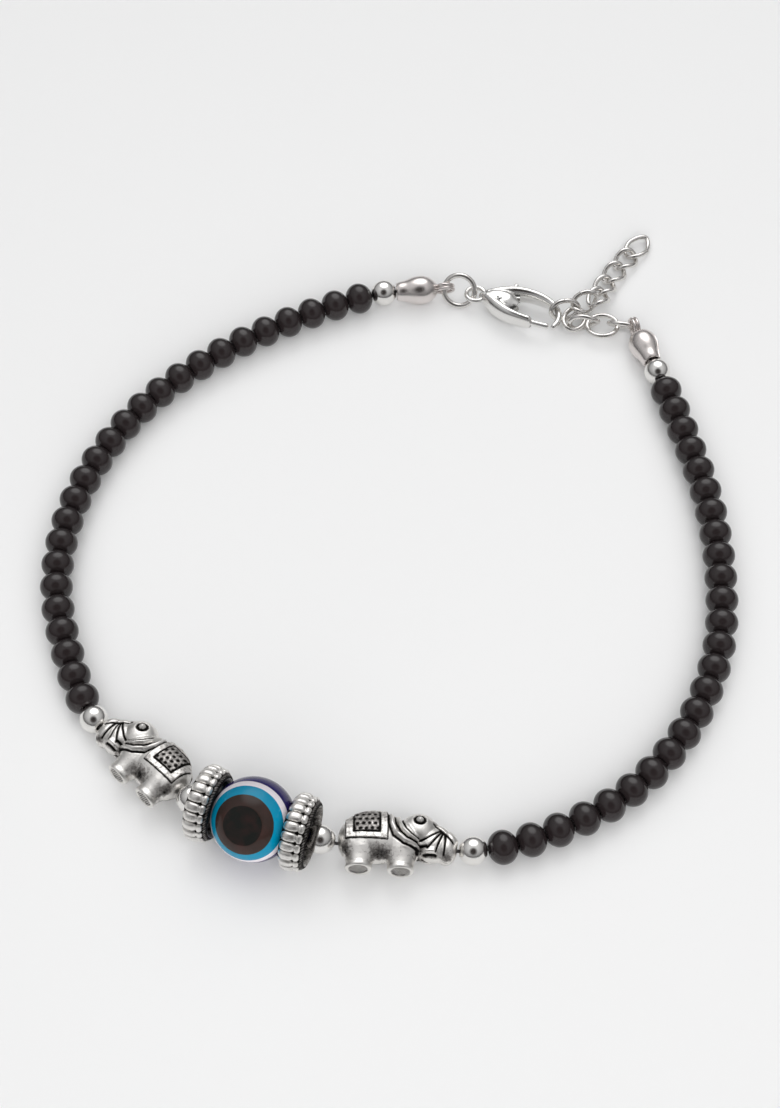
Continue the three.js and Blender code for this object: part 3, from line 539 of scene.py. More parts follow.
def flank_relief(x, y):
    """Height of the cast relief on a flank, and how dark it is: patina in its grooves, plus painted shade where
    the body recedes.
    """
    blanket = patch(x, y, BLANKET, BLANKET_SOFTNESS["hem"])
    panel = patch(x, y, BLANKET_PANEL, BLANKET_SOFTNESS["hem"])
    height = BLANKET_RAISE * patch(x, y, BLANKET, BLANKET_SOFTNESS["raise"])
    height += HEM["height"] * frame_stroke(x, y, BLANKET, HEM["width"]) * blanket
    height += PANEL_RAISE * panel
    groove_and_shade = PANEL_LINE["dark"] * frame_stroke(x, y, BLANKET_PANEL, PANEL_LINE["width"])
    groove_and_shade += BLANKET_DARK * blanket + PANEL_DARK * panel
    rows = np.floor(y / PIT_SPACING)
    across = np.cos(2 * np.pi * (x / PIT_SPACING + 0.5 * (rows % 2)))
    upward = np.cos(2 * np.pi * (y / PIT_SPACING - rows - 0.5))
    pits = (np.clip(0.5 + 0.5 * across, 0, 1) * np.clip(0.5 + 0.5 * upward, 0, 1)) ** PIT_SHARPNESS
    groove_and_shade += PIT_DARK * pits * panel
    height -= PIT_DEPTH * groove_and_shade
    outside = 1 - patch(x, y, BLANKET, BLANKET_SOFTNESS["line"])
    groove_and_shade += BLANKET_LINE["dark"] * frame_stroke(x, y, BLANKET, BLANKET_LINE["width"]) * outside
    for row in ELEPHANT_STROKES:
        line = stroke(x, y, row["points"], row["width"])
        height += row["height"] * line
        if row["height"] < 0:
            groove_and_shade += FURROW_DARK * line
    distance = np.hypot(x - EYE_RING["x"], y - EYE_RING["y"]) - EYE_RING["radius"]
    ring = np.exp(-(distance / EYE_RING["width"]) ** 2)
    height += EYE_RING["height"] * ring
    # Painted shade where the body recedes, added to the darkness of the grooves.
    for row in PAINTED_SHADE_PATCHES:
        off_middle = ((x - row["x"]) / row["long"]) ** 2 + ((y - row["y"]) / row["high"]) ** 2
        groove_and_shade += PAINTED_SHADE_DARK * np.exp(-off_middle)
    return height, groove_and_shade + ring


def elephant_mesh():
    solid = bmesh.new()
    for row in ELEPHANT_LUMPS:
        lump_mesh(solid, (row["x"], row["y"], 0), (row["long"], row["high"], row["thick"]))
    for row in ELEPHANT_LEGS:
        leg_mesh(solid, row)
    bmesh.ops.scale(solid, verts=solid.verts, vec=(MM, MM, MM))
    rough = bpy.data.meshes.new("elephant")
    solid.to_mesh(rough)
    solid.free()
    mesh = remeshed(rough, ELEPHANT_VOXEL, ELEPHANT_EASE)
    place = corner_values(mesh, "co")
    normal = corner_values(mesh, "normal")
    x, y, z = place.T / MM
    height, groove_and_shade = flank_relief(x, y)
    flank = ramp(np.abs(normal[:, 2]), *FLANK_FACING)
    speckle = np.sin(17 * x + 3 * z) * np.sin(19 * z - 5 * x)
    sole = ramp(-y, -SOLE_HEIGHT - SOLE_BAND[0], -SOLE_HEIGHT - SOLE_BAND[1])
    for row in ELEPHANT_LEGS:
        distance = np.hypot((x - row["x"]) / SOLE_RADIUS, z / (row["thick"] * SOLE_RADIUS))
        dish = sole * (1 - ramp(distance, SOLE_DISH["full"], SOLE_DISH["none"]))
        place[:, 1] += dish * (SOLE_DISH["depth"] + SOLE_DISH["pitting"] * speckle) * MM
        shade = SOLE_DISH["dark"] + SOLE_DISH["speckle"] * speckle
        groove_and_shade = groove_and_shade + dish * shade / np.maximum(flank, FLANK_LEAST)
    place += normal * (height * flank * MM)[:, None]
    mesh.vertices.foreach_set("co", place.astype(np.float32).ravel())
    mesh.update()
    # Darkness from patina in the grooves and from painted shade where the body recedes, strongest on the flanks.
    in_grooves_and_shade = GROOVE_AND_SHADE_STRENGTH * groove_and_shade * np.maximum(flank, FLANK_LEAST)
    in_creases = CREASE_PATINA * np.clip(hollowness(mesh) - CREASE_START, 0, 1)
    patina_and_shade = np.clip(in_grooves_and_shade + in_creases, 0, 1)
    add_values(mesh, "patina_and_shade", patina_and_shade)
    mesh.shade_smooth()
    return mesh


def antique_finish():
    """Rubbed silver over black patina: a darkness value on the mesh says where it is dark, from patina in its
    hollows and from painted shade.
    """
    material, tree, shader = new_material("antique_silver", Metallic=1.0, Base_Color=(0.7, 0.68, 0.66, 1))
    place = add_node(tree, "ShaderNodeTexCoord")
    patina_and_shade = add_node(tree, "ShaderNodeAttribute", attribute_name="patina_and_shade")
    cloud = add_node(tree, "ShaderNodeTexNoise", [("Vector", place.outputs["Object"]), ("Scale", 2600.0),
                                                  ("Detail", 4.0), ("Roughness", 0.7)])
    spread = add_node(tree, "ShaderNodeMath", [(0, cloud.outputs[0]), (1, 0.5)], operation="SUBTRACT")
    spread = add_node(tree, "ShaderNodeMath", [(0, spread.outputs[0]), (1, 1.05)], operation="MULTIPLY")
    dark = add_node(tree, "ShaderNodeMath", [(0, patina_and_shade.outputs["Fac"]), (1, spread.outputs[0])])
    colour = add_node(tree, "ShaderNodeValToRGB", [("Fac", dark.outputs[0])])
    stops = colour.color_ramp.elements
    stops[0].position, stops[0].color = 0.1, (0.86, 0.84, 0.81, 1)
    stops[1].position, stops[1].color = 0.62, (0.022, 0.02, 0.019, 1)
    middle = stops.new(0.3)
    middle.color = (0.38, 0.36, 0.345, 1)
    rough = add_node(tree, "ShaderNodeMapRange", [("Value", dark.outputs[0]), ("From Min", 0.0),
                                                  ("From Max", 0.7), ("To Min", 0.36), ("To Max", 0.65)])
    grain = add_node(tree, "ShaderNodeTexNoise", [("Vector", place.outputs["Object"]), ("Scale", 4500.0),
                                                  ("Detail", 3.0)])
    bump = add_node(tree, "ShaderNodeBump", [("Height", grain.outputs[0]), ("Strength", 0.6),
                                             ("Distance", 0.04 * MM)])
    tree.links.new(colour.outputs[0], shader.inputs["Base Color"])
    tree.links.new(rough.outputs[0], shader.inputs["Roughness"])
    tree.links.new(bump.outputs[0], shader.inputs["Normal"])
    return material


def placed_copy(mesh, origin, along, upward):
    """A copy of a mesh with its X along one direction and its Y as near as it can be to another."""
    across = along.cross(upward).normalized()
    upward = across.cross(along)
    copy = mesh.copy()
    copy.transform(Matrix.Translation(origin) @ Matrix((along, upward, across)).transposed().to_4x4())
    return copy


def inward(along, side):
    level = Vector((0, 0, 1)).cross(along).normalized()
    return level if side == "right" else -level


antique_silver = antique_finish()
elephant = elephant_mesh()
elephant.materials.append(antique_silver)
for side, rows in sections.items():
    tail = rows[THREAD_STOPS["elephant_tail"]][0]
    trunk = rows[THREAD_STOPS["elephant_trunk"]][0]
    along = (trunk - tail).normalized()
    bead = add_object("cast_elephant_" + side, placed_copy(elephant, (tail + trunk) / 2, along,
                                                           inward(along, side)))
    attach(bead, "root")
    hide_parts("elephant_" + side)


# Rondelles: cast wheels with a thin web and a wide rim. Each of the rim's ribs is a long lobe with a
# short one in line with it, and a fine twisted rope runs round one edge. They have the elephants' finish.
RONDELLE_BASE = 3.95
RONDELLE_HALF_WIDTH = 1.5
RIM_INNER_RADIUS = 3.25
WEB_HALF_WIDTH = 0.5
WEB_HUB_RADIUS = 2.2
WEB_BORE_RADIUS = 1.0
MOUTH_BEVEL = {"deep": 0.12, "wide": 0.25}
EDGE_DROP = 0.42
RIB_DARK = 1.1
RIB_BRIGHT_RISE = 0.26
RIB_COUNT = 22
RIB_STEPS = 18
RIM_ROWS = 44
RIM_LOBES = [
    {"lobe": "long", "middle": -0.48, "half": 0.98, "rise": 0.55, "count": RIB_COUNT, "slant": 0.0},
    {"lobe": "short", "middle": 0.72, "half": 0.36, "rise": 0.4, "count": RIB_COUNT, "slant": 0.0},
    {"lobe": "rope", "middle": 1.26, "half": 0.22, "rise": 0.16, "count": 3 * RIB_COUNT, "slant": 0.6},
]


def rim_height(along, turn):
    """How far the ribs stand above the rim's base at a place along its width and round it."""
    best = np.zeros_like(turn)
    for row in RIM_LOBES:
        pitch = 2 * math.pi / row["count"]
        lengthwise = (along - row["middle"]) / row["half"]
        shifted = turn + row["slant"] * pitch * lengthwise
        crosswise = 2 * ((shifted / pitch + 0.5) % 1 - 0.5)
        dome = np.sqrt(np.clip(1 - np.abs(lengthwise) ** 3 - 0.98 * np.abs(crosswise) ** 3.2, 0, 1))
        best = np.maximum(best, row["rise"] * dome)
    return best


def rondelle_mesh():
    sides = RIB_COUNT * RIB_STEPS
    turn = 2 * np.pi * np.arange(sides) / sides
    rows, dark = [], []
    for i in range(RIM_ROWS + 1):
        along = RONDELLE_HALF_WIDTH * (2 * i / RIM_ROWS - 1)
        rise = rim_height(along, turn)
        edge = EDGE_DROP * (abs(along) / RONDELLE_HALF_WIDTH) ** 4
        rows.append((along, RONDELLE_BASE - edge + rise))
        dark.append(RIB_DARK - RIB_DARK * np.clip(rise / RIB_BRIGHT_RISE, 0, 1))
    plain = np.ones(sides)
    face = [(RONDELLE_HALF_WIDTH, RIM_INNER_RADIUS + MOUTH_BEVEL["wide"], 0.2),
            (RONDELLE_HALF_WIDTH - MOUTH_BEVEL["deep"], RIM_INNER_RADIUS, 0.3),
            (WEB_HALF_WIDTH, RIM_INNER_RADIUS, 0.6),
            (WEB_HALF_WIDTH, WEB_HUB_RADIUS, 0.3),
            (WEB_HALF_WIDTH, WEB_BORE_RADIUS, 0.6)]
    for along, radius, shade in face + [(-along, radius, shade) for along, radius, shade in face[::-1]]:
        rows.append((along, radius * plain))
        dark.append(shade * plain)
    loops = [np.stack([np.full(sides, along), radius * np.cos(turn), radius * np.sin(turn)], 1)
             for along, radius in rows]
    points = np.concatenate(loops) * MM
    mesh = smooth_mesh("rondelle", points.tolist(), row_faces(len(rows), sides, True))
    add_values(mesh, "patina_and_shade", np.concatenate(dark))
    return mesh


rondelle = rondelle_mesh()
rondelle.materials.append(antique_silver)
right_wheel = sections["right"][THREAD_STOPS["rondelle"]][0]
left_wheel = sections["left"][THREAD_STOPS["rondelle"]][0]
for side, wheel, axis in (("right", right_wheel, (right_wheel - eye_middle).normalized()),
                          ("left", left_wheel, (eye_middle - left_wheel).normalized())):
    wheel_piece = add_object("fluted_rondelle_" + side, placed_copy(rondelle, wheel, axis, Vector((0, 1, 0))))
    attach(wheel_piece, "root")
    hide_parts("rondelle_" + side)


# Eye bead: a ball of dark blue resin with round layers of white, sky blue and brown-black let into two
# opposite sides, ground flat over the pupil and polished. It is drilled across for the thread.
EYE_DIAMETER = 9.7 * MM
PUPIL_DIAMETER = 4.5 * MM
EYE_SIDES = 128
EYE_ROWS = 96
FACET_RINGS = (0.35, 0.65, 0.88, 0.97)
LAYER_BLEND = 0.35
EYE_LAYERS = [
    {"layer": "pupil", "to": 27.6, "colour": (0.007, 0.006, 0.006)},
    {"layer": "iris", "to": 42.5, "colour": (0.032, 0.018, 0.016)},
    {"layer": "iris rim", "to": 44.5, "colour": (0.03, 0.02, 0.012)},
    {"layer": "teal", "to": 60.0, "colour": (0.0, 0.25, 0.42)},
    {"layer": "white", "to": 70.5, "colour": (0.84, 0.79, 0.84)},
    {"layer": "body", "to": 90.0, "colour": (0.02, 0.012, 0.12)},
]


def eye_mesh():
    start = math.asin(PUPIL_DIAMETER / EYE_DIAMETER)
    points, polar = [], []
    radius = EYE_DIAMETER / 2

    def add_row(ring_radius, height, angle):
        for k in range(EYE_SIDES):
            turn = 2 * math.pi * k / EYE_SIDES
            points.append((ring_radius * math.cos(turn), ring_radius * math.sin(turn), height))
            polar.append(angle)

    flat = radius * math.cos(start)
    for share in FACET_RINGS:
        add_row(share * PUPIL_DIAMETER / 2, flat, math.degrees(start) * share)
    for i in range(EYE_ROWS + 1):
        angle = start + (math.pi - 2 * start) * i / EYE_ROWS
        add_row(radius * math.sin(angle), radius * math.cos(angle), math.degrees(min(angle, math.pi - angle)))
    for share in FACET_RINGS[::-1]:
        add_row(share * PUPIL_DIAMETER / 2, -flat, math.degrees(start) * share)
    count = len(points) // EYE_SIDES
    faces = row_faces(count, EYE_SIDES, False)
    faces.append(tuple(range(EYE_SIDES)))
    faces.append(tuple(range((count - 1) * EYE_SIDES, count * EYE_SIDES)))
    mesh = smooth_mesh("eye", points, faces)
    add_values(mesh, "polar", polar)
    return mesh


def resin_finish():
    material, tree, shader = new_material("eye_resin", Roughness=0.12, IOR=1.5, Specular_IOR_Level=0.22)
    place = add_node(tree, "ShaderNodeTexCoord")
    polar = add_node(tree, "ShaderNodeAttribute", attribute_name="polar")
    waver = add_node(tree, "ShaderNodeTexNoise", [("Vector", place.outputs["Object"]), ("Scale", 260.0),
                                                  ("Detail", 2.0)])
    offset = add_node(tree, "ShaderNodeMapRange",
                      [("Value", waver.outputs[0]), ("To Min", -1.2), ("To Max", 1.2)])
    angle = add_node(tree, "ShaderNodeMath", [(0, polar.outputs["Fac"]), (1, offset.outputs[0])])
    share = add_node(tree, "ShaderNodeMath", [(0, angle.outputs[0]), (1, 90.0)], operation="DIVIDE")
    layers = add_node(tree, "ShaderNodeValToRGB", [("Fac", share.outputs[0])])
    stops = layers.color_ramp.elements
    stops.remove(stops[1])
    stops[0].position, stops[0].color = 0.0, (*EYE_LAYERS[0]["colour"], 1)
    for inner, outer in zip(EYE_LAYERS, EYE_LAYERS[1:]):
        for layer, offset in ((inner, -LAYER_BLEND), (outer, LAYER_BLEND)):
            stop = stops.new((inner["to"] + offset) / 90.0)
            stop.color = (*layer["colour"], 1)
    streak = add_node(tree, "ShaderNodeTexNoise", [("Vector", place.outputs["Object"]), ("Scale", 520.0),
                                                   ("Detail", 3.0)])
    tint = add_node(tree, "ShaderNodeValToRGB", [("Fac", streak.outputs[0])])
    tints = tint.color_ramp.elements
    tints[0].position, tints[0].color = 0.45, (0.0, 0.002, 0.001, 1)
    tints[1].position, tints[1].color = 0.7, (0.012, 0.004, 0.003, 1)
    added = add_node(tree, "ShaderNodeMix", [("Factor", 1.0)], data_type="RGBA", blend_type="ADD")
    tree.links.new(layers.outputs[0], added.inputs[6])
    tree.links.new(tint.outputs[0], added.inputs[7])
    tree.links.new(added.outputs[2], shader.inputs["Base Color"])
    return material


eye_resin = resin_finish()
eye_source = eye_mesh()
eye_source.materials.append(eye_resin)
eye_look = Vector(mounts["pupil_front"]["axis"])
bore_along = (right_wheel - left_wheel).normalized()
third = eye_look.cross(bore_along).normalized()
eye_source.transform(Matrix.Translation(eye_middle)
                     @ Matrix((third.cross(eye_look), third, eye_look)).transposed().to_4x4())
eye_piece = add_object("evil_eye_bead", eye_source)
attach(eye_piece, "root")
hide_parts("eye_bead")


# Jump ring and extension chain: plated wire bent round and closed with a butt joint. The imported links'
# sections give each centre line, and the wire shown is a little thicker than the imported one.
LINK_WIRE = 0.52 * MM
RING_WIRE = 0.6 * MM
LINK_WIRE_SHOWN = 0.64 * MM
RING_WIRE_SHOWN = 0.74 * MM
WIRE_CORNERS = 5
WIRE_SIDES = 16
JOINT_GAP = 0.05 * MM
LENGTH_MATCH = 0.004 * MM

links_plate = grained_material("plated_wire", 1500.0, 0.2, 0.04 * MM,
                               Base_Color=(0.8, 0.78, 0.755, 1), Metallic=1.0, Roughness=0.2)


def wire_sections(node, wire):
    """The middles of a closed wire's sections in order: a section's sides are its shortest edges."""
    copy = joined_copy(node)
    side = wire * math.sin(math.pi / WIRE_CORNERS)
    ring_of, rings = {}, []
    for first in copy.verts:
        if first in ring_of:
            continue
        ring, ahead = [], [first]
        while ahead:
            v = ahead.pop()
            if v in ring_of:
                continue
            ring_of[v] = len(rings)
            ring.append(v)
            ahead += [e.other_vert(v) for e in v.link_edges if abs(e.calc_length() - side) < LENGTH_MATCH]
        rings.append(ring)
    beside = [sorted({ring_of[e.other_vert(v)] for v in ring for e in v.link_edges} - {i})
              for i, ring in enumerate(rings)]
    middles = [sum((v.co for v in ring), Vector()) / len(ring) for ring in rings]
    order = [0, beside[0][0]]
    while len(order) < len(rings):
        order.append([i for i in beside[order[-1]] if i != order[-2]][0])
    copy.free()
    return [middles[i] for i in order]


def open_at_joint(path):
    """Opens a closed path by a hair's gap in the middle of one of its sides."""
    middle = sum(path, Vector()) / len(path)
    start = min(range(len(path)), key=lambda i: (path[i] - middle).length)
    path = path[start:] + path[:start]
    ahead = (path[1] - path[0]).normalized()
    return [path[0] + ahead * JOINT_GAP / 2, *path[1:], path[0] - ahead * JOINT_GAP / 2]


link_nodes = ["chain_link_%02d" % number for number in range(1, 12)]
link_paths = [open_at_joint(wire_sections(node, LINK_WIRE)) for node in link_nodes]
chain = add_object("extension_chain", swept_wire(
    link_paths, LINK_WIRE_SHOWN, WIRE_SIDES, LINK_WIRE / 4, links_plate))
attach(chain, "root")
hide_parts(*link_nodes)

ring_path = open_at_joint(wire_sections("jump_ring", RING_WIRE))
jump_ring = add_object("wire_jump_ring", swept_wire(
    [ring_path], RING_WIRE_SHOWN, WIRE_SIDES, RING_WIRE / 4, links_plate))
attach(jump_ring, "root")
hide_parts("jump_ring")


# Calottes: clamshell bead tips pressed from thin plated sheet. Two cups fold shut over the thread's
# knot and leave a dark slit, and a strip split into two narrow loops is curled round the ring or link.
SHELL_LENGTH = 5.5
SHELL_WALL = 0.3
SHELL_SLIT = 0.46
SLIT_TAPER = {"start": 0.15, "bluntness": 0.6, "least": 0.05}
SHELL_STEPS = 40
SHELL_PROFILE = [(0.0, 1.12), (0.06, 1.26), (0.12, 1.33), (0.18, 1.38), (0.24, 1.46), (0.3, 1.58),
                 (0.36, 1.7), (0.43, 1.81), (0.5, 1.88), (0.58, 1.9), (0.66, 1.86), (0.74, 1.74),
                 (0.81, 1.54), (0.87, 1.3), (0.92, 1.04), (0.96, 0.78), (1.0, 0.54)]
SHELL_SIDES = 60
HOOK_DIAMETER = 2.7
HOOK_LOOP_WIRE = 0.44
HOOK_LOOP_SPREAD = 0.24
HOOK_LOOP_CORNERS = 36
HOOK_LOOP_STEP = 0.08
HOOK_ALONG = 6.405
CALOTTE_TURNS = {"right": {"slit": 145, "roll": 0}, "left": {"slit": 155, "roll": 28}}

shell_plate = grained_material("pressed_plate", 600.0, 0.25, 0.08 * MM,
                               Base_Color=(0.8, 0.75, 0.73, 1), Metallic=1.0, Roughness=0.26)


def shell_row(share, inset):
    """(along, radius) of the cup: a short neck at the thread's mouth, then a round belly to the hook."""
    along = share * SHELL_LENGTH
    for (start, low), (end, high) in zip(SHELL_PROFILE, SHELL_PROFILE[1:]):
        if share <= end:
            blend = (share - start) / (end - start)
            radius = low + (high - low) * blend
            break
    return inset / 2 + along * (1 - inset / SHELL_LENGTH), radius - inset


def shell_mesh(slit_turn):
    outer = [shell_row(i / SHELL_STEPS, 0) for i in range(SHELL_STEPS + 1)]
    inner = [shell_row(i / SHELL_STEPS, SHELL_WALL) for i in range(SHELL_STEPS, -1, -1)]
    profile = outer + inner
    start = SLIT_TAPER["start"]
    points = []
    for k in range(SHELL_SIDES + 1):
        for along, radius in profile:
            open_share = math.sin(math.pi * min(1.0, start + (1 - start) * along / SHELL_LENGTH))
            open_share = max(open_share ** SLIT_TAPER["bluntness"], SLIT_TAPER["least"])
            gap = math.asin(min(SHELL_SLIT * open_share / 2 / radius, 1))
            turn = math.radians(slit_turn) + gap + (2 * math.pi - 2 * gap) * k / SHELL_SIDES
            points.append((along * MM, radius * math.cos(turn) * MM, radius * math.sin(turn) * MM))
    size = len(profile)
    faces = [(k * size + i, k * size + (i + 1) % size, (k + 1) * size + (i + 1) % size, (k + 1) * size + i)
             for k in range(SHELL_SIDES) for i in range(size)]
    for end in (0, SHELL_SIDES * size):
        for i in range(SHELL_STEPS):
            faces.append((end + i, end + i + 1, end + size - 2 - i, end + size - 1 - i))
    return smooth_mesh("shell", points, faces)


def hook_loops():
    radius = (HOOK_DIAMETER - HOOK_LOOP_WIRE) / 2
    turns = [math.pi + 2 * math.pi * (k + 0.5) / HOOK_LOOP_CORNERS for k in range(HOOK_LOOP_CORNERS)]
    paths = [[Vector((HOOK_ALONG + radius * math.cos(t), offset, radius * math.sin(t))) * MM for t in turns]
             for offset in (-HOOK_LOOP_SPREAD, HOOK_LOOP_SPREAD)]
    return swept_wire(paths, HOOK_LOOP_WIRE * MM, WIRE_SIDES, HOOK_LOOP_STEP * MM, shell_plate)


def joined_meshes(meshes, finish):
    whole = bmesh.new()
    for mesh in meshes:
        whole.from_mesh(mesh)
    result = bpy.data.meshes.new("joined")
    whole.to_mesh(result)
    whole.free()
    result.materials.clear()
    result.materials.append(finish)
    result.shade_smooth()
    return result


for side, rows in sections.items():
    node = "calotte_" + side
    end_ball = box_middle("silver_ball_%d" % BALL_ORDER[side][2])
    corners = sorted((v.co.copy() for v in frame["nodes"][node].data.vertices),
                     key=lambda co: -(co - end_ball).length)
    tip = sum(corners[:4], Vector()) / 4
    along = (tip - end_ball).normalized()
    reach = (HOOK_ALONG + HOOK_DIAMETER / 2) * MM
    calotte = joined_meshes([shell_mesh(CALOTTE_TURNS[side]["slit"]), hook_loops()], shell_plate)
    calotte.transform(Matrix.Rotation(math.radians(CALOTTE_TURNS[side]["roll"]), 4, "X"))
    shell = add_object("clamshell_" + side, placed_copy(calotte, tip - along * reach, along,
                                                        inward(along, side)))
    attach(shell, "root")
    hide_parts(node)


# Clasp: a cast lobster clasp with bright plating. Its body is an eye, a slotted middle and two arms,
# and the upper arm bends round as the fixed hook. Sizes are shares of its reach, width and thickness.
CLASP_REACH = 12.2
CLASP_WIDTH = 5.7
CLASP_THICKNESS = 2.8
CLASP_HEADING = -20
CLASP_EYE_RADIUS = 1.21
CLASP_EYE_WIRE = 0.68
CLASP_EYE_STEPS = 48
CLASP_VOXEL = 0.085 * MM
CLASP_EASE = 8
SECTION_SIDES = 24
ARM_STEPS = 6
ARM_END = [(1.0, 0.0), (0.72, 0.3), (0.35, 0.42)]
CLASP_PIN = {"along": 0.285, "across": -0.1, "radius": 0.35, "length": 0.97, "sides": 32}
CLASP_HOOK = [
    {"along": 0.13, "across": 0.04, "wide": 0.24, "thick": 0.8},
    {"along": 0.27, "across": 0.19, "wide": 0.3, "thick": 0.98},
    {"along": 0.41, "across": 0.325, "wide": 0.27, "thick": 0.94},
    {"along": 0.56, "across": 0.375, "wide": 0.25, "thick": 0.86},
    {"along": 0.71, "across": 0.35, "wide": 0.235, "thick": 0.76},
    {"along": 0.83, "across": 0.27, "wide": 0.2, "thick": 0.58},
    {"along": 0.91, "across": 0.14, "wide": 0.16, "thick": 0.4},
    {"along": 0.95, "across": -0.04, "wide": 0.15, "thick": 0.38},
    {"along": 0.955, "across": -0.22, "wide": 0.145, "thick": 0.36},
    {"along": 0.935, "across": -0.38, "wide": 0.13, "thick": 0.34},
]
CLASP_LOWER_ARM = [
    {"along": 0.13, "across": -0.04, "wide": 0.24, "thick": 0.8},
    {"along": 0.27, "across": -0.23, "wide": 0.31, "thick": 0.98},
    {"along": 0.41, "across": -0.36, "wide": 0.27, "thick": 0.94},
    {"along": 0.55, "across": -0.405, "wide": 0.22, "thick": 0.84},
    {"along": 0.665, "across": -0.41, "wide": 0.2, "thick": 0.74},
]
CLASP_BASE = [
    {"along": 0.075, "across": 0.0, "wide": 0.19, "thick": 0.42},
    {"along": 0.15, "across": 0.0, "wide": 0.34, "thick": 0.84},
    {"along": 0.25, "across": 0.0, "wide": 0.6, "thick": 1.0},
    {"along": 0.37, "across": -0.02, "wide": 0.64, "thick": 0.96},
    {"along": 0.44, "across": -0.03, "wide": 0.36, "thick": 0.7},
]
CLASP_SLOT = [(0.19, 0.08), (0.235, 0.72), (0.46, 0.72), (0.47, 0.12), (0.56, 0.0), (0.72, -0.1),
              (0.74, -0.48), (0.55, -0.465), (0.4, -0.4), (0.27, -0.3), (0.19, -0.24)]
CLASP_SLOT_WIDTH = 1.25


def spline_rows(table, steps):
    """Rows of a table with smooth ones filled in between."""
    keys = ("along", "across", "wide", "thick")
    values = np.array([[row[key] for key in keys] for row in table])
    padded = np.vstack([2 * values[0] - values[1], values, 2 * values[-1] - values[-2]])
    rows = []
    for i in range(len(values) - 1):
        a, b, c, d = padded[i:i + 4]
        for k in range(steps):
            t = k / steps
            rows.append(0.5 * (2 * b + (c - a) * t + (2 * a - 5 * b + 4 * c - d) * t ** 2
                               + (3 * b - a - 3 * c + d) * t ** 3))
    return rows + [values[-1]]


def cast_arm(solid, table, rounding=1.0):
    """Skins oval sections along a table's middle line, with round ends."""
    rows = spline_rows(table, ARM_STEPS)
    places = [Vector((row[0] * CLASP_REACH, row[1] * CLASP_WIDTH, 0)) for row in rows]
    rings = []
    for i, row in enumerate(rows):
        ahead = (places[min(i + 1, len(rows) - 1)] - places[max(i - 1, 0)]).normalized()
        across = Vector((0, 0, 1)).cross(ahead)
        ends = ARM_END[:1]
        if i == 0:
            ends = [(shrink, -push) for shrink, push in ARM_END[::-1]]
        if i == len(rows) - 1:
            ends = ARM_END
        for shrink, push in ends:
            half_wide = shrink * row[2] * CLASP_WIDTH / 2
            half_thick = shrink * row[3] * CLASP_THICKNESS / 2
            middle = places[i] + ahead * push * rounding * row[2] * CLASP_WIDTH
            rings.append(oval_ring(solid, middle, across * half_wide, Vector((0, 0, half_thick)),
                                   SECTION_SIDES))
    skin_rings(solid, rings)


def plate_solid(outline, thickness):
    """A flat plate of an outline given in shares, centred on the clasp's middle plane."""
    solid = bmesh.new()
    low = [solid.verts.new((x * CLASP_REACH, y * CLASP_WIDTH, -thickness / 2)) for x, y in outline]
    face = solid.faces.new(low)
    made = bmesh.ops.extrude_face_region(solid, geom=[face])
    moved = [item for item in made["geom"] if isinstance(item, bmesh.types.BMVert)]
    bmesh.ops.translate(solid, verts=moved, vec=(0, 0, thickness))
    return solid


def to_mesh(solid, name):
    bmesh.ops.recalc_face_normals(solid, faces=solid.faces)
    bmesh.ops.scale(solid, verts=solid.verts, vec=(MM, MM, MM))
    mesh = bpy.data.meshes.new(name)
    solid.to_mesh(mesh)
    solid.free()
    return mesh


def cut_mesh(mesh, tool):
    body, blade = add_object("body", mesh), add_object("blade", tool)
    cut = body.modifiers.new("cut", "BOOLEAN")
    cut.operation = "DIFFERENCE"
    cut.solver = "EXACT"
    cut.object = blade
    result = evaluated_mesh(body)
    bpy.data.objects.remove(blade)
    return result


def ring_shell(solid, radius, wire):
    """A closed ring of round wire about the clasp's eye."""
    rings = []
    for i in range(CLASP_EYE_STEPS):
        turn = 2 * math.pi * i / CLASP_EYE_STEPS
        outwards = Vector((math.cos(turn), math.sin(turn), 0))
        rings.append(oval_ring(solid, outwards * radius, outwards * wire / 2, Vector((0, 0, wire / 2)),
                               SECTION_SIDES))
    for i, near in enumerate(rings):
        far = rings[(i + 1) % len(rings)]
        for k in range(SECTION_SIDES):
            after = (k + 1) % SECTION_SIDES
            solid.faces.new((near[k], far[k], far[after], near[after]))


def at_pin(solid, radius, length, sides):
    """A capped cylinder centred on the lever's pin."""
    place = Matrix.Translation((CLASP_PIN["along"] * CLASP_REACH, CLASP_PIN["across"] * CLASP_WIDTH, 0))
    bmesh.ops.create_cone(solid, cap_ends=True, segments=sides, radius1=radius, radius2=radius,
                          depth=length, matrix=place)


def clasp_body_mesh():
    solid = bmesh.new()
    for table in (CLASP_HOOK, CLASP_LOWER_ARM, CLASP_BASE):
        cast_arm(solid, table)
    ring_shell(solid, CLASP_EYE_RADIUS, CLASP_EYE_WIRE)
    cast = remeshed(to_mesh(solid, "cast"), CLASP_VOXEL, CLASP_EASE)
    slotted = cut_mesh(cast, to_mesh(plate_solid(CLASP_SLOT, CLASP_SLOT_WIDTH), "slot"))
    pin = bmesh.new()
    at_pin(pin, CLASP_PIN["radius"], CLASP_PIN["length"] * CLASP_THICKNESS, CLASP_PIN["sides"])
    return joined_meshes([slotted, to_mesh(pin, "pin")], clasp_plate)


clasp_plate = grained_material("clasp_plate", 500.0, 0.15, 0.06 * MM,
                               Base_Color=(0.87, 0.86, 0.84, 1), Metallic=1.0, Roughness=0.2)

hinge = Vector(frame["joints"][0]["pos_m"])
clasp_turn = Matrix.Rotation(math.radians(CLASP_HEADING), 4, "Z")
pin_offset = Vector((CLASP_PIN["along"] * CLASP_REACH, CLASP_PIN["across"] * CLASP_WIDTH, 0)) * MM
clasp_place = Matrix.Translation(hinge - clasp_turn @ pin_offset) @ clasp_turn
clasp_mesh = clasp_body_mesh()
clasp_mesh.transform(clasp_place)
clasp_body = add_object("clasp_casting", clasp_mesh)
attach(clasp_body, "root")
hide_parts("clasp_body")


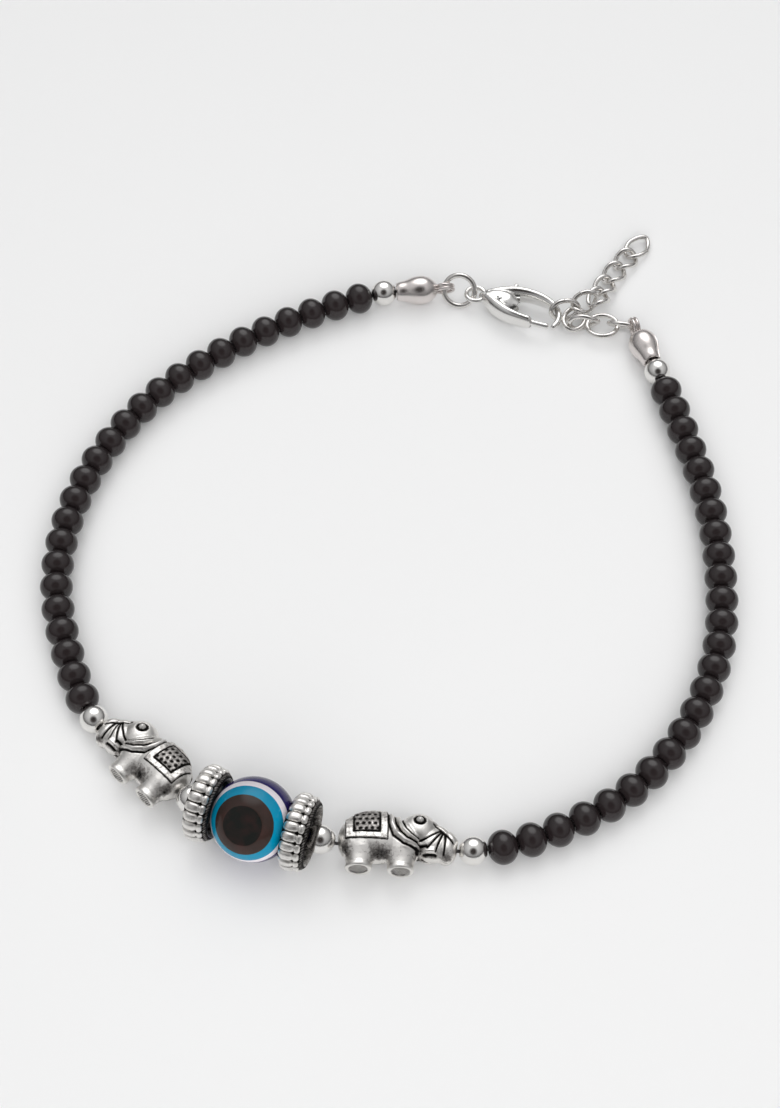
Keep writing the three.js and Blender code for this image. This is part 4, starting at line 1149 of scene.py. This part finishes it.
# Clasp lever: a small bell crank on the clasp's pin. Its tab stands out behind the upper arm for the
# thumb, and its long tongue closes the gap between the lower arm and the end of the hook.
LEVER_BOSS_RADIUS = 0.95
LEVER_BOSS_SIDES = 48
LEVER_THICKNESS = 0.9
LEVER_BORE_RADIUS = 0.42
LEVER_ROUNDING = 0.6
LEVER_EASE = 4
LEVER_TAB = [
    {"along": 0.3, "across": -0.05, "wide": 0.16, "thick": 0.32},
    {"along": 0.345, "across": 0.16, "wide": 0.14, "thick": 0.32},
    {"along": 0.372, "across": 0.38, "wide": 0.13, "thick": 0.33},
    {"along": 0.38, "across": 0.57, "wide": 0.14, "thick": 0.33},
]
LEVER_TONGUE = [
    {"along": 0.3, "across": -0.14, "wide": 0.2, "thick": 0.32},
    {"along": 0.4, "across": -0.27, "wide": 0.16, "thick": 0.32},
    {"along": 0.56, "across": -0.365, "wide": 0.14, "thick": 0.32},
    {"along": 0.7, "across": -0.405, "wide": 0.135, "thick": 0.31},
    {"along": 0.872, "across": -0.395, "wide": 0.14, "thick": 0.3},
]


def lever_mesh():
    solid = bmesh.new()
    for table in (LEVER_TAB, LEVER_TONGUE):
        cast_arm(solid, table, LEVER_ROUNDING)
    at_pin(solid, LEVER_BOSS_RADIUS, LEVER_THICKNESS, LEVER_BOSS_SIDES)
    blank = remeshed(to_mesh(solid, "lever"), CLASP_VOXEL, LEVER_EASE)
    drill = bmesh.new()
    at_pin(drill, LEVER_BORE_RADIUS, 4 * LEVER_THICKNESS, CLASP_PIN["sides"])
    return joined_meshes([cut_mesh(blank, to_mesh(drill, "drill"))], clasp_plate)


lever_source = lever_mesh()
lever_source.transform(clasp_place)
lever = add_object("clasp_thumb_lever", lever_source)
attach(lever, "lever")
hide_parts("clasp_lever")


# Studio: a plain pale surface under broad soft lights from above and from the front, and the camera at
# the angle of the photograph, looking down across the anklet from its front.
FLOOR_SIZE = 4.0
CAMERA_ELEVATION = 52.64
CAMERA_DISTANCE = 323.15 * MM
CAMERA_TARGET = Vector((0.159, -3.043, -0.017)) * MM
CAMERA_LENS = 85.32
SKY_SHADES = [(0.02, (0.03, 0.03, 0.031, 1)), (0.3, (0.3, 0.3, 0.303, 1)), (0.85, (0.62, 0.62, 0.625, 1))]
SKY_GLOW = {"toward": (0.04, 0.57, 0.82), "inner": 9, "outer": 34, "colour": (2.4, 2.4, 2.4, 1)}
CAMERA_SIDE = {"inner": 15, "outer": 36, "colour": (0.035, 0.03, 0.029, 1)}

floor_mesh = bpy.data.meshes.new("floor")
half = FLOOR_SIZE / 2
floor_corners = [(-half, -half, 0), (half, -half, 0), (half, half, 0), (-half, half, 0)]
floor_mesh.from_pydata(floor_corners, [], [(0, 1, 2, 3)])
floor = add_object("floor", floor_mesh)
floor_mesh.materials.append(new_material("pale_surface", Base_Color=(0.87, 0.87, 0.87, 1), Roughness=0.4)[0])


def softbox(name, place, size, power):
    """A lamp that lights surfaces but isn't itself mirrored; the sky carries what polished metal mirrors."""
    lamp = bpy.data.lights.new(name, "AREA")
    lamp.shape = "RECTANGLE"
    lamp.size, lamp.size_y = size
    lamp.energy = power
    holder = add_object(name, lamp)
    holder.location = place
    holder.rotation_euler = Vector(place).to_track_quat("Z", "Y").to_euler()
    holder.visible_glossy = False


def sky_spot(tree, toward, row):
    """1 within a row's inner angle of a direction, falling smoothly to 0 at its outer one."""
    here = add_node(tree, "ShaderNodeTexCoord")
    facing = add_node(tree, "ShaderNodeVectorMath",
                      [(0, here.outputs["Generated"]), (1, Vector(toward).normalized())],
                      operation="DOT_PRODUCT")
    return add_node(tree, "ShaderNodeMapRange", [
        ("Value", facing.outputs["Value"]), ("From Min", math.cos(math.radians(row["outer"]))),
        ("From Max", math.cos(math.radians(row["inner"])))], interpolation_type="SMOOTHSTEP").outputs[0]


def blend_colour(tree, share, under, over):
    mixed = add_node(tree, "ShaderNodeMix", [("Factor", share)], data_type="RGBA")
    for socket, value in ((6, under), (7, over)):
        if isinstance(value, bpy.types.NodeSocket):
            tree.links.new(value, mixed.inputs[socket])
        else:
            mixed.inputs[socket].default_value = value
    return mixed.outputs[2]


softbox("top_light", (0.0, 0.3, 1.3), (3.8, 3.4), 30.5)
softbox("front_light", (0.1, -1.2, 0.8), (2.0, 1.4), 21.5)

tilt = math.radians(CAMERA_ELEVATION)
toward_camera = Vector((0, -math.cos(tilt), math.sin(tilt)))
world = bpy.data.worlds.new("studio")
bpy.context.scene.world = world
world.use_nodes = True
sky = world.node_tree
direction = add_node(sky, "ShaderNodeTexCoord")
height = add_node(sky, "ShaderNodeSeparateXYZ", [(0, direction.outputs["Generated"])])
shade = add_node(sky, "ShaderNodeValToRGB", [("Fac", height.outputs["Z"])])
steps = shade.color_ramp.elements
steps[0].position, steps[0].color = SKY_SHADES[0]
steps[1].position, steps[1].color = SKY_SHADES[2]
steps.new(SKY_SHADES[1][0]).color = SKY_SHADES[1][1]
glow_share = sky_spot(sky, SKY_GLOW["toward"], SKY_GLOW)
glow = blend_colour(sky, glow_share, shade.outputs[0], SKY_GLOW["colour"])
room = blend_colour(sky, sky_spot(sky, toward_camera, CAMERA_SIDE), glow, CAMERA_SIDE["colour"])
sky.links.new(room, sky.nodes["Background"].inputs["Color"])
sky.nodes["Background"].inputs["Strength"].default_value = 1.0
world.cycles_visibility.diffuse = False

camera_data = bpy.data.cameras.new("photo_camera")
camera_data.sensor_width = 36.0
camera_data.lens = CAMERA_LENS
camera_data.clip_start = 0.01
camera = add_object("photo_camera", camera_data)
camera.location = CAMERA_TARGET + toward_camera * CAMERA_DISTANCE
camera.rotation_euler = (math.pi / 2 - tilt, 0, 0)
bpy.context.scene.camera = camera
bpy.context.scene.view_settings.view_transform = "Standard"
